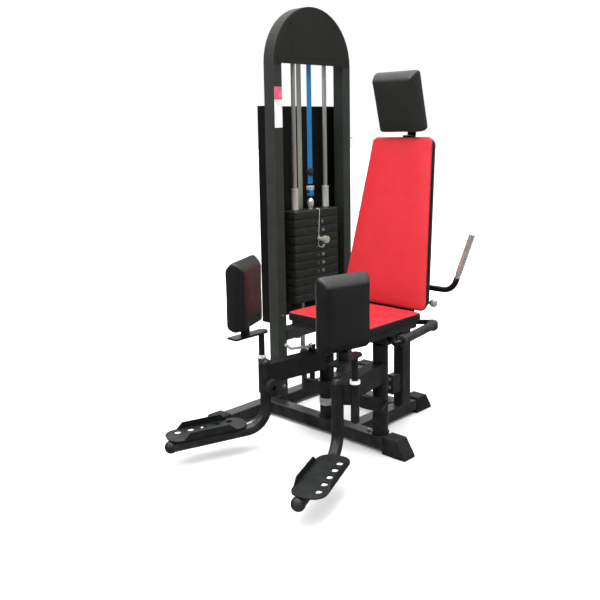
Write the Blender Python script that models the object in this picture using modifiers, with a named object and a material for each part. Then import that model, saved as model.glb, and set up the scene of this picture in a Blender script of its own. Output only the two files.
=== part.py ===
"""Hip abductor machine: a seated gym machine with a weight stack tower.

Frame: +Z up, the user faces -Y, the user's left is +X, and the tower stands on the user's
right. Metres. Positions below are measured from the seat's mid-plane (x = 0), the front cross
beam (y = 0) and the floor (z = 0). ORIGIN_SHIFT then moves the whole machine so that the centre
of its footprint is the world origin.
"""
import bmesh
import bpy
from math import ceil, cos, pi, radians, sin, tan
from mathutils import Matrix, Vector

# ---------------------------------------------------------------- driving dimensions
ORIGIN_SHIFT = Vector((0.07372, -0.04413, 0.0))
GAP = 0.0003                      # clearance between pieces that touch

TUBE_W, TUBE_H = 0.060, 0.048     # base tube: width and height
BASE_Z = 0.014                    # underside of the base tubes, held up by the rubber boots
BASE_TOP = BASE_Z + TUBE_H
CROSS_END_X = 0.238               # free end of the front cross beam
SIDE_X = -0.473                   # centre line of the side beam and of the tower
SIDE_Y = (-0.305, 0.700)          # ends of the side beam
REAR_Y = 0.350                    # centre line of the rear cross beam
CENTRE_END_Y = 0.470              # rear end of the centre beam
BOOT_WALL, BOOT_TOP, BOOT_TOP_LEN, BOOT_LOW_LEN = 0.0045, 0.070, 0.070, 0.112

LEG_D = 0.050                     # tower tube, in the plane of the arch (TUBE_W across it)
TOWER_Y = (0.044, 0.540)          # outer faces of the two tower legs
ARCH_Z = 1.521                    # where the legs turn into the arch
TOWER_MID = sum(TOWER_Y) / 2
ARCH_R = (TOWER_Y[1] - TOWER_Y[0]) / 2
LOW_BAR_Z = (0.312, 0.360)        # cross member under the stack
TOP_BAR_Z = (1.548, 1.588)        # cross member that holds the rods, behind the cover

ROD_Y = (TOWER_MID - 0.101, TOWER_MID + 0.101)
ROD_R = 0.010
PLATE_X, PLATE_Y = 0.090, 0.284   # weight plate: width and length
PLATE_PITCH = 0.0377
PLATE_COUNT = 10
STACK_TOP = 0.8822                # top of the head plate
PIN_PLATE = 3                     # the selector pin is in this plate
BELT_W, BELT_T = 0.028, 0.003
RETURN_X = -0.5365                # rear strand of the belt, behind the stack

POST_X, POST_Y = 0.140, 0.020     # the two pivot posts stand at +/- POST_X
HUB_R, SHAFT_R = 0.030, 0.0165
HUB_LOW, HUB_TOP = 0.145, 0.352
CROSSBAR_Z = (0.423, 0.463)       # seat cross bar over the posts
LEG_XY = Vector((0.186, -0.286))  # foot tube of the left arm
ROD_XY = Vector((0.239, -0.252))  # pad rod of the left arm
FOOT_END = Vector((0.330, -0.642))
FOOT_R, TOE_R, TOE_Z = 0.0225, 0.0248, 0.080
ARM_Z = (0.272, 0.350)            # swing arm: underside and top
ARM_W = 0.050
CAM_R, CAM_Z = 0.105, (0.190, 0.240)
PAD_L, PAD_T, PAD_Z = 0.212, 0.086, (0.494, 0.763)
PAD_OUT, PAD_FORE = 0.0355, 0.077  # centre of a pad, out from and in front of its rod
PAD_TURN = {1: radians(12), -1: radians(25)}   # swivel of the left and the right pad

SEAT_W, SEAT_Y, SEAT_Z = 0.420, (-0.138, 0.197), (0.484, 0.528)
BACK_TILT = radians(11.5)
BACK_FOOT = Vector((0.0, 0.1995, 0.5348))        # middle of the backrest's lower front edge
BACK_LEN, BACK_W, BACK_TOP_W = 0.685, 0.432, 0.300
BACK_T, BOARD_T = 0.030, 0.010
HEAD_TILT = radians(14.2)

# ---------------------------------------------------------------- scene and materials
for old in list(bpy.data.objects):
    bpy.data.objects.remove(old, do_unlink=True)

parts = bpy.data.collections.new("hip_abductor_machine")
cutters = bpy.data.collections.new("cutters")
for collection in (parts, cutters):
    bpy.context.scene.collection.children.link(collection)


def material(name, colour, roughness, metallic=0.0):
    made = bpy.data.materials.new(name)
    made.use_nodes = True
    shader = made.node_tree.nodes["Principled BSDF"]
    shader.inputs["Base Color"].default_value = (*colour, 1.0)
    shader.inputs["Roughness"].default_value = roughness
    shader.inputs["Metallic"].default_value = metallic
    return made


GREY_PAINT = material("grey_powder_coat", (0.075, 0.080, 0.085), 0.42)
BLACK_PAINT = material("black_powder_coat", (0.015, 0.015, 0.017), 0.45)
CHROME = material("chrome", (0.75, 0.75, 0.74), 0.12, 1.0)
STEEL = material("bare_steel", (0.36, 0.37, 0.37), 0.38, 1.0)
RUBBER = material("grey_rubber", (0.070, 0.072, 0.068), 0.80)
BLACK_VINYL = material("black_vinyl", (0.022, 0.023, 0.025), 0.42)
RED_VINYL = material("red_vinyl", (0.78, 0.055, 0.075), 0.45)
BOARD = material("black_board", (0.016, 0.016, 0.017), 0.60)
NYLON = material("white_nylon", (0.78, 0.78, 0.75), 0.45)
BELT_BLUE = material("blue_belt", (0.02, 0.22, 0.55), 0.55)

# ---------------------------------------------------------------- shape helpers


def add(name, mesh, paint, location=(0, 0, 0), rotation=(0, 0, 0)):
    """Link a mesh as one named sub-part."""
    mesh.name = name
    mesh.materials.clear()
    mesh.materials.append(paint)
    mesh.shade_smooth()
    mesh.set_sharp_from_angle(angle=radians(35))
    piece = bpy.data.objects.new(name, mesh)
    piece.location = location
    piece.rotation_euler = rotation
    parts.objects.link(piece)
    return piece


def block(name, low, high, paint, bevel=0.0, segments=2):
    """A box between two corners, with optional rounded edges."""
    low, high = Vector(low), Vector(high)
    shape = bmesh.new()
    bmesh.ops.create_cube(shape, size=1.0)
    bmesh.ops.scale(shape, vec=high - low, verts=shape.verts)
    mesh = bpy.data.meshes.new(name)
    shape.to_mesh(mesh)
    shape.free()
    piece = add(name, mesh, paint, location=(low + high) / 2)
    if bevel:
        soft_edges(piece, bevel, segments)
    return piece


def soft_edges(piece, width, segments=2):
    bevel = piece.modifiers.new("rounded_edges", "BEVEL")
    bevel.width = width
    bevel.segments = segments
    bevel.limit_method = "ANGLE"
    bevel.angle_limit = radians(40)


def cylinder(name, radius, start, end, paint, sides=24, end_radius=None):
    """A cylinder, or a cone, from start to end."""
    start, end = Vector(start), Vector(end)
    axis = end - start
    shape = bmesh.new()
    bmesh.ops.create_cone(shape, cap_ends=True, segments=sides, radius1=radius,
                          radius2=radius if end_radius is None else end_radius,
                          depth=axis.length)
    mesh = bpy.data.meshes.new(name)
    shape.to_mesh(mesh)
    shape.free()
    turn = axis.to_track_quat("Z", "Y").to_euler()
    return add(name, mesh, paint, location=(start + end) / 2, rotation=turn)


def ball(name, radius, centre, paint, sides=16):
    shape = bmesh.new()
    bmesh.ops.create_uvsphere(shape, u_segments=sides, v_segments=sides // 2, radius=radius)
    mesh = bpy.data.meshes.new(name)
    shape.to_mesh(mesh)
    shape.free()
    return add(name, mesh, paint, location=centre)


def baked(curve_object):
    """The mesh of a curve, with its caps welded on. The curve is removed."""
    bpy.context.view_layer.update()
    graph = bpy.context.evaluated_depsgraph_get()
    mesh = bpy.data.meshes.new_from_object(curve_object.evaluated_get(graph))
    mesh.transform(curve_object.matrix_world)
    bpy.data.objects.remove(curve_object, do_unlink=True)
    shape = bmesh.new()
    shape.from_mesh(mesh)
    bmesh.ops.remove_doubles(shape, verts=shape.verts, dist=0.00002)
    bmesh.ops.recalc_face_normals(shape, faces=shape.faces)
    shape.to_mesh(mesh)
    shape.free()
    return mesh


def curve_from(splines, closed, dimensions):
    curve = bpy.data.curves.new("guide", "CURVE")
    curve.dimensions = dimensions
    for points in splines:
        spline = curve.splines.new("POLY")
        spline.points.add(len(points) - 1)
        for target, point in zip(spline.points, points):
            target.co = (*Vector(point).to_3d(), 1.0)
        spline.use_cyclic_u = closed
    guide = bpy.data.objects.new("guide", curve)
    cutters.objects.link(guide)
    return guide


def rod(name, points, radius, paint, resolution=3, closed=False):
    """A round bar or tube along a path."""
    guide = curve_from([points], closed, "3D")
    guide.data.bevel_depth = radius
    guide.data.bevel_resolution = resolution
    guide.data.use_fill_caps = not closed
    return add(name, baked(guide), paint)


def sheet(name, outlines, thickness, frame, paint):
    """A flat plate: 2-D outlines (the first is the rim, the rest are holes), centred on
    the plane that frame places."""
    guide = curve_from(outlines, True, "2D")
    guide.data.fill_mode = "BOTH"
    guide.data.extrude = thickness / 2
    guide.matrix_world = frame
    return add(name, baked(guide), paint)


def softened(corners, radii, step=radians(15)):
    """A path through corners, each turned into an arc of its own radius. The first and the
    last point stay as they are."""
    path = [Vector(corners[0])]
    for before, corner, after, radius in zip(corners, corners[1:], corners[2:], radii):
        path += arc_at(Vector(before), Vector(corner), Vector(after), radius, step)
    path.append(Vector(corners[-1]))
    return path


def arc_at(before, corner, after, radius, step):
    """Points on the arc that rounds one corner."""
    into, out = (corner - before).normalized(), (after - corner).normalized()
    angle = into.angle(out)
    reach = radius * tan(angle / 2)
    middle = corner + (out - into).normalized() * (radius / cos(angle / 2))
    start = corner - into * reach - middle
    count = max(2, ceil(angle / step))
    side = into.normalized()
    return [middle + start * cos(angle * k / count) + side * (radius * sin(angle * k / count))
            for k in range(count + 1)]


def round_outline(corners, radius, step=radians(30)):
    """A closed outline whose corners are all rounded."""
    outline = []
    for k, corner in enumerate(corners):
        before, after = corners[k - 1], corners[(k + 1) % len(corners)]
        outline += arc_at(Vector(before), Vector(corner), Vector(after), radius, step)
    return outline


def circle(centre, radius, sides=16):
    return [(centre[0] + radius * cos(2 * pi * k / sides),
             centre[1] + radius * sin(2 * pi * k / sides)) for k in range(sides)]


def boolean(piece, operation, tools):
    """Union with, or difference of, the tools, which become hidden guides of the piece."""
    hang(tools, piece)
    for tool in tools:
        parts.objects.unlink(tool)
        cutters.objects.link(tool)
        tool.hide_render = True
        tool.display_type = "WIRE"
        change = piece.modifiers.new(operation.lower(), "BOOLEAN")
        change.operation = operation
        change.object = tool
    return piece


def join(piece, *tools):
    return boolean(piece, "UNION", tools)


def cut(piece, *tools):
    return boolean(piece, "DIFFERENCE", tools)


def empty(name, location, parent=None):
    made = bpy.data.objects.new(name, None)
    made.location = location
    parts.objects.link(made)
    bpy.context.view_layer.update()
    if parent:
        hang([made], parent)
    return made


def hang(pieces, parent):
    """Parent pieces without moving them."""
    bpy.context.view_layer.update()
    for piece in pieces:
        piece.parent = parent
        piece.matrix_parent_inverse = parent.matrix_world.inverted()
    bpy.context.view_layer.update()


def frame_at(origin, x_axis, y_axis):
    """A matrix that lays 2-D outlines in the plane of two axes."""
    x_axis, y_axis = Vector(x_axis).normalized(), Vector(y_axis).normalized()
    turned = Matrix((x_axis, y_axis, x_axis.cross(y_axis))).transposed().to_4x4()
    turned.translation = Vector(origin)
    return turned


YZ = frame_at((0, 0, 0), (0, 1, 0), (0, 0, 1))   # outlines drawn as (y, z)

# ---------------------------------------------------------------- base and boots
BEAM_RADIUS = 0.004


def base_frame():
    """Side beam, front and rear cross beams and centre beam, welded into one frame."""
    half, z = TUBE_W / 2, (BASE_Z, BASE_TOP)
    overlap = 0.010
    side = block("base_frame", (SIDE_X - half, SIDE_Y[0], z[0]), (SIDE_X + half, SIDE_Y[1], z[1]),
                 GREY_PAINT, BEAM_RADIUS)
    inner = SIDE_X + half - overlap
    front = block("front_beam", (inner, -half + 0.005, z[0] + 0.0001),
                  (CROSS_END_X, half + 0.005, z[1] - 0.0001), GREY_PAINT, BEAM_RADIUS)
    centre = block("centre_beam", (-half, half - overlap, z[0] + 0.0002),
                   (half, CENTRE_END_Y, z[1] - 0.0002), GREY_PAINT, BEAM_RADIUS)
    rear = block("rear_beam", (inner, REAR_Y - half, z[0] + 0.0003),
                 (-half + overlap, REAR_Y + half, z[1] - 0.0003), GREY_PAINT, BEAM_RADIUS)
    return join(side, front, centre, rear)


def boot(name, tip, direction):
    """A rubber shoe over the end of a base beam. tip is the beam's end, on the floor."""
    across = Vector((-direction[1], direction[0], 0))
    along = Vector((*direction, 0))
    grip = 0.056
    profile = [(0, 0), (BOOT_LOW_LEN, 0), (BOOT_LOW_LEN - 0.004, 0.012),
               (BOOT_TOP_LEN, BOOT_TOP), (0, BOOT_TOP)]
    start = Vector((*tip, 0)) - along * grip
    width = TUBE_W + 2 * BOOT_WALL
    shoe = sheet(name, [profile], width, frame_at(start, along, (0, 0, 1)), RUBBER)
    soft_edges(shoe, 0.003, 1)
    pocket_low = -(TUBE_W / 2 + GAP) * across - along * 0.01
    pocket_high = (TUBE_W / 2 + GAP) * across + along * (grip + GAP)
    low = start + Vector((min(pocket_low.x, pocket_high.x), min(pocket_low.y, pocket_high.y),
                          BASE_Z - GAP))
    high = start + Vector((max(pocket_low.x, pocket_high.x), max(pocket_low.y, pocket_high.y),
                           BASE_TOP + GAP))
    return cut(shoe, block(name + "_pocket", low, high, RUBBER))


# ---------------------------------------------------------------- tower
def tower_frame():
    """Arched tube, with a bar under the stack and a slotted bar behind the cover."""
    half = TUBE_W / 2
    foot = BASE_TOP + GAP
    inside = ARCH_R - LEG_D
    steps = 24
    angles = [pi * k / steps for k in range(steps + 1)]
    outer = [(TOWER_Y[1], foot)]
    outer += [(TOWER_MID + ARCH_R * cos(a), ARCH_Z + ARCH_R * sin(a)) for a in angles]
    outer += [(TOWER_Y[0], foot), (TOWER_Y[0] + LEG_D, foot)]
    inner = [(TOWER_MID - inside * cos(a), ARCH_Z + inside * sin(a)) for a in angles]
    outline = outer + inner + [(TOWER_Y[1] - LEG_D, foot)]
    arch = sheet("tower_frame", [outline], TUBE_W, frame_at((SIDE_X, 0, 0), (0, 1, 0), (0, 0, 1)),
                 GREY_PAINT)
    soft_edges(arch, 0.006, 2)
    reach = LEG_D - 0.010
    low_bar = block("low_bar", (SIDE_X - half + 0.001, TOWER_Y[0] + reach, LOW_BAR_Z[0]),
                    (SIDE_X + half - 0.001, TOWER_Y[1] - reach, LOW_BAR_Z[1]), GREY_PAINT)
    top_bar = block("top_bar", (SIDE_X - half + 0.001, TOWER_Y[0] + reach, TOP_BAR_Z[0]),
                    (SIDE_X + 0.024, TOWER_Y[1] - reach, TOP_BAR_Z[1]), GREY_PAINT)
    join(arch, low_bar, top_bar)
    slot = block("belt_slot", (SIDE_X - 0.009, TOWER_MID - 0.020, TOP_BAR_Z[0] - 0.01),
                 (SIDE_X + 0.009, TOWER_MID + 0.020, TOP_BAR_Z[1] + 0.01), GREY_PAINT)
    return cut(arch, slot)


COVER_T = 0.003
COVER_R = ARCH_R - 0.007
COVER_SCREWS = [(-0.222, 0.022), (0.222, 0.022), (-0.139, 0.172), (0.139, 0.172)]


def arch_cover():
    """Half-round plate on the arch, with a pressed panel and four screw heads."""
    face_x = SIDE_X + TUBE_W / 2 + GAP
    plane = frame_at((face_x + COVER_T / 2, TOWER_MID, ARCH_Z), (0, 1, 0), (0, 0, 1))
    steps = 24
    rim = [(COVER_R * cos(pi * k / steps), COVER_R * sin(pi * k / steps))
           for k in range(steps + 1)]
    cover = sheet("arch_cover", [rim], COVER_T, plane, GREY_PAINT)
    panel_rim = round_outline([(-0.140, 0.026), (0.146, 0.026), (0.146, 0.110), (0.100, 0.180),
                               (-0.094, 0.180), (-0.140, 0.110)], 0.030)
    panel = sheet("pressed_panel", [panel_rim], COVER_T, plane @ Matrix.Translation((0, 0, 0.0012)),
                  GREY_PAINT)
    heads = [cylinder("cover_screw", 0.0065, plane @ Vector((y, z, 0)),
                      plane @ Vector((y, z, COVER_T / 2 + 0.0035)), STEEL, 12)
             for y, z in COVER_SCREWS]
    return join(cover, panel, *heads)


SHROUD_Z = (0.392, 1.345)
SHROUD_D = 0.043
SHROUD_T = 0.0016


def rear_shroud():
    """Folded sheet guard behind the stack, closed at both sides and open toward it."""
    back = SIDE_X - TUBE_W / 2 - GAP - SHROUD_D
    outer = block("rear_shroud", (back, TOWER_Y[0], SHROUD_Z[0]),
                  (back + SHROUD_D, TOWER_Y[1], SHROUD_Z[1]), BLACK_PAINT)
    room = block("shroud_room", (back + SHROUD_T, TOWER_Y[0] + SHROUD_T, SHROUD_Z[0] - 0.01),
                 (back + SHROUD_D + 0.01, TOWER_Y[1] - SHROUD_T, SHROUD_Z[1] + 0.01), BLACK_PAINT)
    return cut(outer, room)


# ---------------------------------------------------------------- weight stack
def plate_outline():
    x, y = PLATE_X / 2, PLATE_Y / 2
    return round_outline([(-x, -y), (x, -y), (x, y), (-x, y)], 0.012)


def stack_plate(name, top, rod_hole, centre_hole):
    """One weight plate. Holes let the guide rods and the selector stem through."""
    height = PLATE_PITCH - GAP
    holes = [circle((0, y - TOWER_MID), rod_hole, 12) for y in ROD_Y]
    if centre_hole:
        holes.append(circle((0, 0), centre_hole, 12))
    plane = frame_at((SIDE_X, TOWER_MID, top - height / 2), (1, 0, 0), (0, 1, 0))
    return sheet(name, [plate_outline(), *holes], height, plane, GREY_PAINT)


def pin_hole(top):
    """Cutter for the selector pin's hole, from the user's side to past the stem."""
    z = top - PLATE_PITCH / 2
    return cylinder("pin_hole", 0.0056, (SIDE_X - 0.020, TOWER_MID, z),
                    (SIDE_X + PLATE_X / 2 + 0.01, TOWER_MID, z), STEEL, 8)


STEM_R = 0.0125
SLEEVE_H = 0.100


def head_plate():
    """Top plate with its two guide sleeves and the drilled stem that picks up the plates."""
    plate = stack_plate("head_plate", STACK_TOP, ROD_R + 0.0015, None)
    sleeves = [cylinder("sleeve", 0.0155, (SIDE_X, y, STACK_TOP - 0.004),
                        (SIDE_X, y, STACK_TOP + SLEEVE_H), STEEL, 20) for y in ROD_Y]
    stem_low = STACK_TOP - PLATE_PITCH * (PLATE_COUNT + 1) + 0.006
    stem = cylinder("stem", STEM_R, (SIDE_X, TOWER_MID, stem_low),
                    (SIDE_X, TOWER_MID, STACK_TOP - 0.010), STEEL, 16)
    join(plate, *sleeves, stem)
    bores = [cylinder("rod_bore", ROD_R + 0.0015, (SIDE_X, y, STACK_TOP - 0.06),
                      (SIDE_X, y, STACK_TOP + 0.12), STEEL, 12) for y in ROD_Y]
    pin_z = STACK_TOP - PLATE_PITCH * (PIN_PLATE + 0.5)
    stem_hole = cylinder("stem_hole", 0.0056, (SIDE_X - 0.03, TOWER_MID, pin_z),
                         (SIDE_X + 0.03, TOWER_MID, pin_z), STEEL, 8)
    return cut(plate, *bores, stem_hole)


def weight_plates():
    plates = []
    for number in range(1, PLATE_COUNT + 1):
        top = STACK_TOP - PLATE_PITCH * number
        plate = stack_plate(f"weight_plate_{number:02d}", top, ROD_R + 0.0015, STEM_R + 0.0015)
        plates.append(cut(plate, pin_hole(top)))
    return plates


PIN_KNOB_X = SIDE_X + PLATE_X / 2 + 0.050


def selector_pin():
    """Shaft through the plate and the stem, with a round pull knob."""
    z = STACK_TOP - PLATE_PITCH * (PIN_PLATE + 0.5)
    shaft = cylinder("selector_pin", 0.0048, (SIDE_X - 0.018, TOWER_MID, z),
                     (PIN_KNOB_X, TOWER_MID, z), CHROME, 8)
    collar = cylinder("pin_collar", 0.009, (SIDE_X + PLATE_X / 2 + 0.002, TOWER_MID, z),
                      (SIDE_X + PLATE_X / 2 + 0.020, TOWER_MID, z), CHROME, 16)
    knob = cylinder("pin_knob", 0.0165, (PIN_KNOB_X - 0.012, TOWER_MID, z),
                    (PIN_KNOB_X + 0.006, TOWER_MID, z), CHROME, 20)
    return join(shaft, collar, knob)


def pin_lanyard():
    """Short cord that keeps the pin with the stack."""
    x = SIDE_X + PLATE_X / 2
    path = softened([(x - 0.016, TOWER_MID + 0.030, STACK_TOP + GAP + 0.0020),
                     (x + 0.012, TOWER_MID + 0.030, STACK_TOP + GAP + 0.0020),
                     (x + 0.014, TOWER_MID + 0.026, STACK_TOP - 0.145),
                     (x + 0.033, TOWER_MID + 0.020, STACK_TOP - 0.150)], [0.010, 0.008])
    return rod("pin_lanyard", path, 0.0018, STEEL, 1)


def stack_buffers():
    """Rubber buffers round the rods, on the lower bar."""
    low, high = LOW_BAR_Z[1] + GAP, STACK_TOP - PLATE_PITCH * (PLATE_COUNT + 1) - GAP
    buffers = []
    for name, y in zip(("stack_buffer_front", "stack_buffer_rear"), ROD_Y):
        body = cylinder(name, 0.024, (SIDE_X, y, low), (SIDE_X, y, high), RUBBER, 20)
        bore = cylinder("buffer_bore", ROD_R + GAP, (SIDE_X, y, low - 0.01),
                        (SIDE_X, y, high + 0.01), RUBBER, 12)
        buffers.append(cut(body, bore))
    return buffers


def guide_rods():
    low, high = LOW_BAR_Z[1] + GAP, TOP_BAR_Z[0] - GAP
    return [cylinder(name, ROD_R, (SIDE_X, y, low), (SIDE_X, y, high), CHROME, 12)
            for name, y in zip(("guide_rod_front", "guide_rod_rear"), ROD_Y)]


# ---------------------------------------------------------------- belt and its pulleys
PULLEY_R = (SIDE_X - RETURN_X) / 2         # to the middle of the belt
PULLEY_X = (SIDE_X + RETURN_X) / 2
TOP_PULLEY_Z, LOW_PULLEY_Z = 1.640, 0.190
CLAMP_Z = 0.985


def belt_pulley(name, z, x=PULLEY_X):
    """Flanged wheel on an axle along Y."""
    groove = PULLEY_R - BELT_T / 2 - GAP
    core = cylinder(name, groove, (x, TOWER_MID - 0.0205, z), (x, TOWER_MID + 0.0205, z), STEEL, 28)
    rims = [cylinder("pulley_rim", PULLEY_R + 0.004, (x, TOWER_MID + side * 0.0150, z),
                     (x, TOWER_MID + side * 0.0200, z), STEEL, 28) for side in (-1, 1)]
    axle = cylinder("pulley_axle", 0.007, (x, TOWER_MID - 0.030, z), (x, TOWER_MID + 0.030, z),
                    STEEL, 12)
    return join(core, *rims, axle)


def belt_front():
    """Straight strand of the lifting belt, from the clamp up to the top pulley."""
    return ribbon("belt_front", [(SIDE_X, CLAMP_Z + 0.012), (SIDE_X, TOP_PULLEY_Z - GAP)])


def belt_return():
    """The rest of the belt: over the top pulley, down behind the stack, under the low pulley."""
    steps = 20
    over = [(PULLEY_X + PULLEY_R * cos(pi * k / steps), TOP_PULLEY_Z + PULLEY_R * sin(pi * k / steps))
            for k in range(steps + 1)]
    under = [(PULLEY_X - PULLEY_R * cos(pi * k / steps), LOW_PULLEY_Z - PULLEY_R * sin(pi * k / steps))
             for k in range(steps // 2 + 3)]
    return ribbon("belt_return", over + under)


def ribbon(name, middle):
    """A flat strip of belt along a path in the XZ plane."""
    left, right = [], []
    for k, point in enumerate(middle):
        before, after = middle[max(k - 1, 0)], middle[min(k + 1, len(middle) - 1)]
        along = (Vector(after) - Vector(before)).normalized()
        normal = Vector((-along.y, along.x)) * BELT_T / 2
        left.append(Vector(point) + normal)
        right.append(Vector(point) - normal)
    plane = frame_at((0, TOWER_MID, 0), (1, 0, 0), (0, 0, 1))
    return sheet(name, [left + right[::-1]], BELT_W, plane, BELT_BLUE)


def belt_clamp():
    """Shackle, clamp block and its two bolts, between the head plate and the belt."""
    centre = (SIDE_X, TOWER_MID)
    body = block("belt_clamp", (SIDE_X - 0.009, TOWER_MID - 0.017, 0.950),
                 (SIDE_X + 0.009, TOWER_MID + 0.017, CLAMP_Z), STEEL, 0.003, 1)
    eye = cylinder("eye_bolt", 0.007, (*centre, STACK_TOP + GAP), (*centre, 0.952), CHROME, 12)
    nut = cylinder("eye_nut", 0.014, (*centre, STACK_TOP + GAP), (*centre, STACK_TOP + 0.012),
                   CHROME, 6)
    bolts = [cylinder("clamp_bolt", 0.007, (SIDE_X - 0.015, TOWER_MID + side * 0.012, 0.972),
                      (SIDE_X + 0.015, TOWER_MID + side * 0.012, 0.972), CHROME, 12)
             for side in (-1, 1)]
    slot = block("belt_seat", (SIDE_X - BELT_T / 2 - GAP, TOWER_MID - 0.02, CLAMP_Z + 0.0117),
                 (SIDE_X + BELT_T / 2 + GAP, TOWER_MID + 0.02, CLAMP_Z + 0.05), STEEL)
    neck = block("belt_neck", (SIDE_X - 0.006, TOWER_MID - 0.014, CLAMP_Z - 0.004),
                 (SIDE_X + 0.006, TOWER_MID + 0.014, CLAMP_Z + 0.024), STEEL)
    join(body, eye, nut, neck, *bolts)
    return cut(body, slot)


def belt_stop():
    """Rubber ball on the belt, over the clamp."""
    stop = ball("belt_stop", 0.0185, (SIDE_X, TOWER_MID, 1.050), RUBBER)
    room = block("belt_room", (SIDE_X - BELT_T / 2 - GAP, TOWER_MID - BELT_W / 2 - GAP, 1.0),
                 (SIDE_X + BELT_T / 2 + GAP, TOWER_MID + BELT_W / 2 + GAP, 1.1), RUBBER)
    return cut(stop, room)


# ---------------------------------------------------------------- posts, arms and cams
def pivot_post(name, side):
    """Fixed shaft with its base flange, lower housing and top collar."""
    x, y = side * POST_X, POST_Y
    floor = BASE_TOP + GAP
    flange = cylinder(name, 0.0345, (x, y, floor), (x, y, floor + 0.008), GREY_PAINT, 24)
    housing = cylinder("housing", HUB_R, (x, y, floor + 0.004), (x, y, HUB_LOW - GAP), GREY_PAINT, 24)
    shaft = cylinder("shaft", SHAFT_R, (x, y, floor + 0.006), (x, y, CROSSBAR_Z[0] - GAP),
                     GREY_PAINT, 24)
    collar = cylinder("collar", 0.022, (x, y, HUB_TOP + 0.001), (x, y, CROSSBAR_Z[0] - GAP),
                      GREY_PAINT, 24)
    return join(flange, housing, shaft, collar)


def ring(name, outer, inner, low, high, x, y, paint, sides=24):
    """A round washer or bush on a vertical axis."""
    plane = frame_at((x, y, (low + high) / 2), (1, 0, 0), (0, 1, 0))
    return sheet(name, [circle((0, 0), outer, sides), circle((0, 0), inner, sides)], high - low,
                 plane, paint)


def side_vector(side, planar, z=0.0):
    """A point given for the left side, mirrored for the right side."""
    return Vector((side * planar[0], planar[1], z))


def foot_path(side):
    """Centre line of the foot tube: down, round the bend and out to the ball end."""
    away = (FOOT_END - LEG_XY).normalized()
    return softened([side_vector(side, LEG_XY, 0.346), side_vector(side, LEG_XY, 0.0945),
                     side_vector(side, FOOT_END - away * 0.003, TOE_Z)], [0.085], radians(9))


def swing_arm(name, side, hub_low):
    """Hub sleeve, rectangular arm, foot tube with ball end, and the pad rod's socket."""
    x, y = side * POST_X, POST_Y
    hub = cylinder(name, HUB_R, (x, y, hub_low), (x, y, HUB_TOP), GREY_PAINT, 28)
    start = Vector((POST_X, POST_Y))
    along = (LEG_XY - start).normalized()
    corners = [start + along * 0.012, LEG_XY - along * 0.004]
    across = Vector((-along.y, along.x)) * ARM_W / 2
    outline = [corners[0] - across, corners[0] + across, corners[1] + across, corners[1] - across]
    outline = [(side * p.x, p.y) for p in outline]
    arm = sheet("arm", [outline], ARM_Z[1] - ARM_Z[0],
                frame_at((0, 0, sum(ARM_Z) / 2), (1, 0, 0), (0, 1, 0)), GREY_PAINT)
    soft_edges(arm, 0.004, 1)
    foot = rod("foot_tube", foot_path(side), FOOT_R, GREY_PAINT, 4)
    cap = ball("dome_cap", FOOT_R + 0.0006, side_vector(side, LEG_XY, 0.346), STEEL, 20)
    toe = ball("toe_ball", TOE_R, side_vector(side, FOOT_END, TOE_Z), STEEL, 20)
    socket = cylinder("socket", 0.0158, side_vector(side, ROD_XY, 0.215),
                      side_vector(side, ROD_XY, 0.354), GREY_PAINT, 20)
    web = swing_web(side)
    join(hub, arm, foot, cap, toe, web, socket)
    bore = cylinder("shaft_bore", SHAFT_R + GAP, (x, y, hub_low - 0.01), (x, y, HUB_TOP + 0.02),
                    GREY_PAINT, 28)
    seat = cylinder("rod_bore", 0.0124, side_vector(side, ROD_XY, 0.225),
                    side_vector(side, ROD_XY, 0.37), GREY_PAINT, 20)
    return cut(hub, bore, seat)


def swing_web(side):
    """Plate between the foot tube and the socket."""
    middle = (LEG_XY + ROD_XY) / 2
    reach = ROD_XY - LEG_XY
    across = Vector((-reach.y, reach.x)).normalized() * 0.006
    half = reach / 2
    outline = [middle - half - across, middle + half - across, middle + half + across,
               middle - half + across]
    outline = [(side * p.x, p.y) for p in outline]
    return sheet("web", [outline], 0.075, frame_at((0, 0, 0.3125), (1, 0, 0), (0, 1, 0)),
                 GREY_PAINT)


def cam(name, side):
    """Sector drum under the arm: a curved rim on a flat web round the hub."""
    x, y = side * POST_X, POST_Y
    rim_t, web_t = 0.008, 0.006
    first, last, steps = radians(-150), radians(-48), 14
    if side < 0:
        first, last = pi - last, pi - first
    arc = [first + (last - first) * k / steps for k in range(steps + 1)]

    def at(radius, angle):
        return (radius * cos(angle), radius * sin(angle))

    boss = HUB_R + 0.012
    back = [last + (2 * pi - (last - first)) * k / 8 for k in range(1, 8)]
    web_rim = [at(CAM_R, a) for a in arc] + [at(boss, a) for a in back]
    web = sheet(name, [web_rim, circle((0, 0), HUB_R + GAP, 28)], web_t,
                frame_at((x, y, CAM_Z[0] + web_t / 2), (1, 0, 0), (0, 1, 0)), GREY_PAINT)
    band = [at(CAM_R, a) for a in arc] + [at(CAM_R - rim_t, a) for a in reversed(arc)]
    rim = sheet("cam_rim", [band], CAM_Z[1] - CAM_Z[0],
                frame_at((x, y, sum(CAM_Z) / 2), (1, 0, 0), (0, 1, 0)), GREY_PAINT)
    return join(web, rim)


TREAD_LEN, TREAD_W, TREAD_T = 0.314, 0.122, 0.004    # foot plate
TREAD_HEEL, TREAD_OUT, TREAD_Z = 0.080, 0.025, 0.1124  # its start and offset from the tube
FLANGE_H = 0.026


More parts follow.
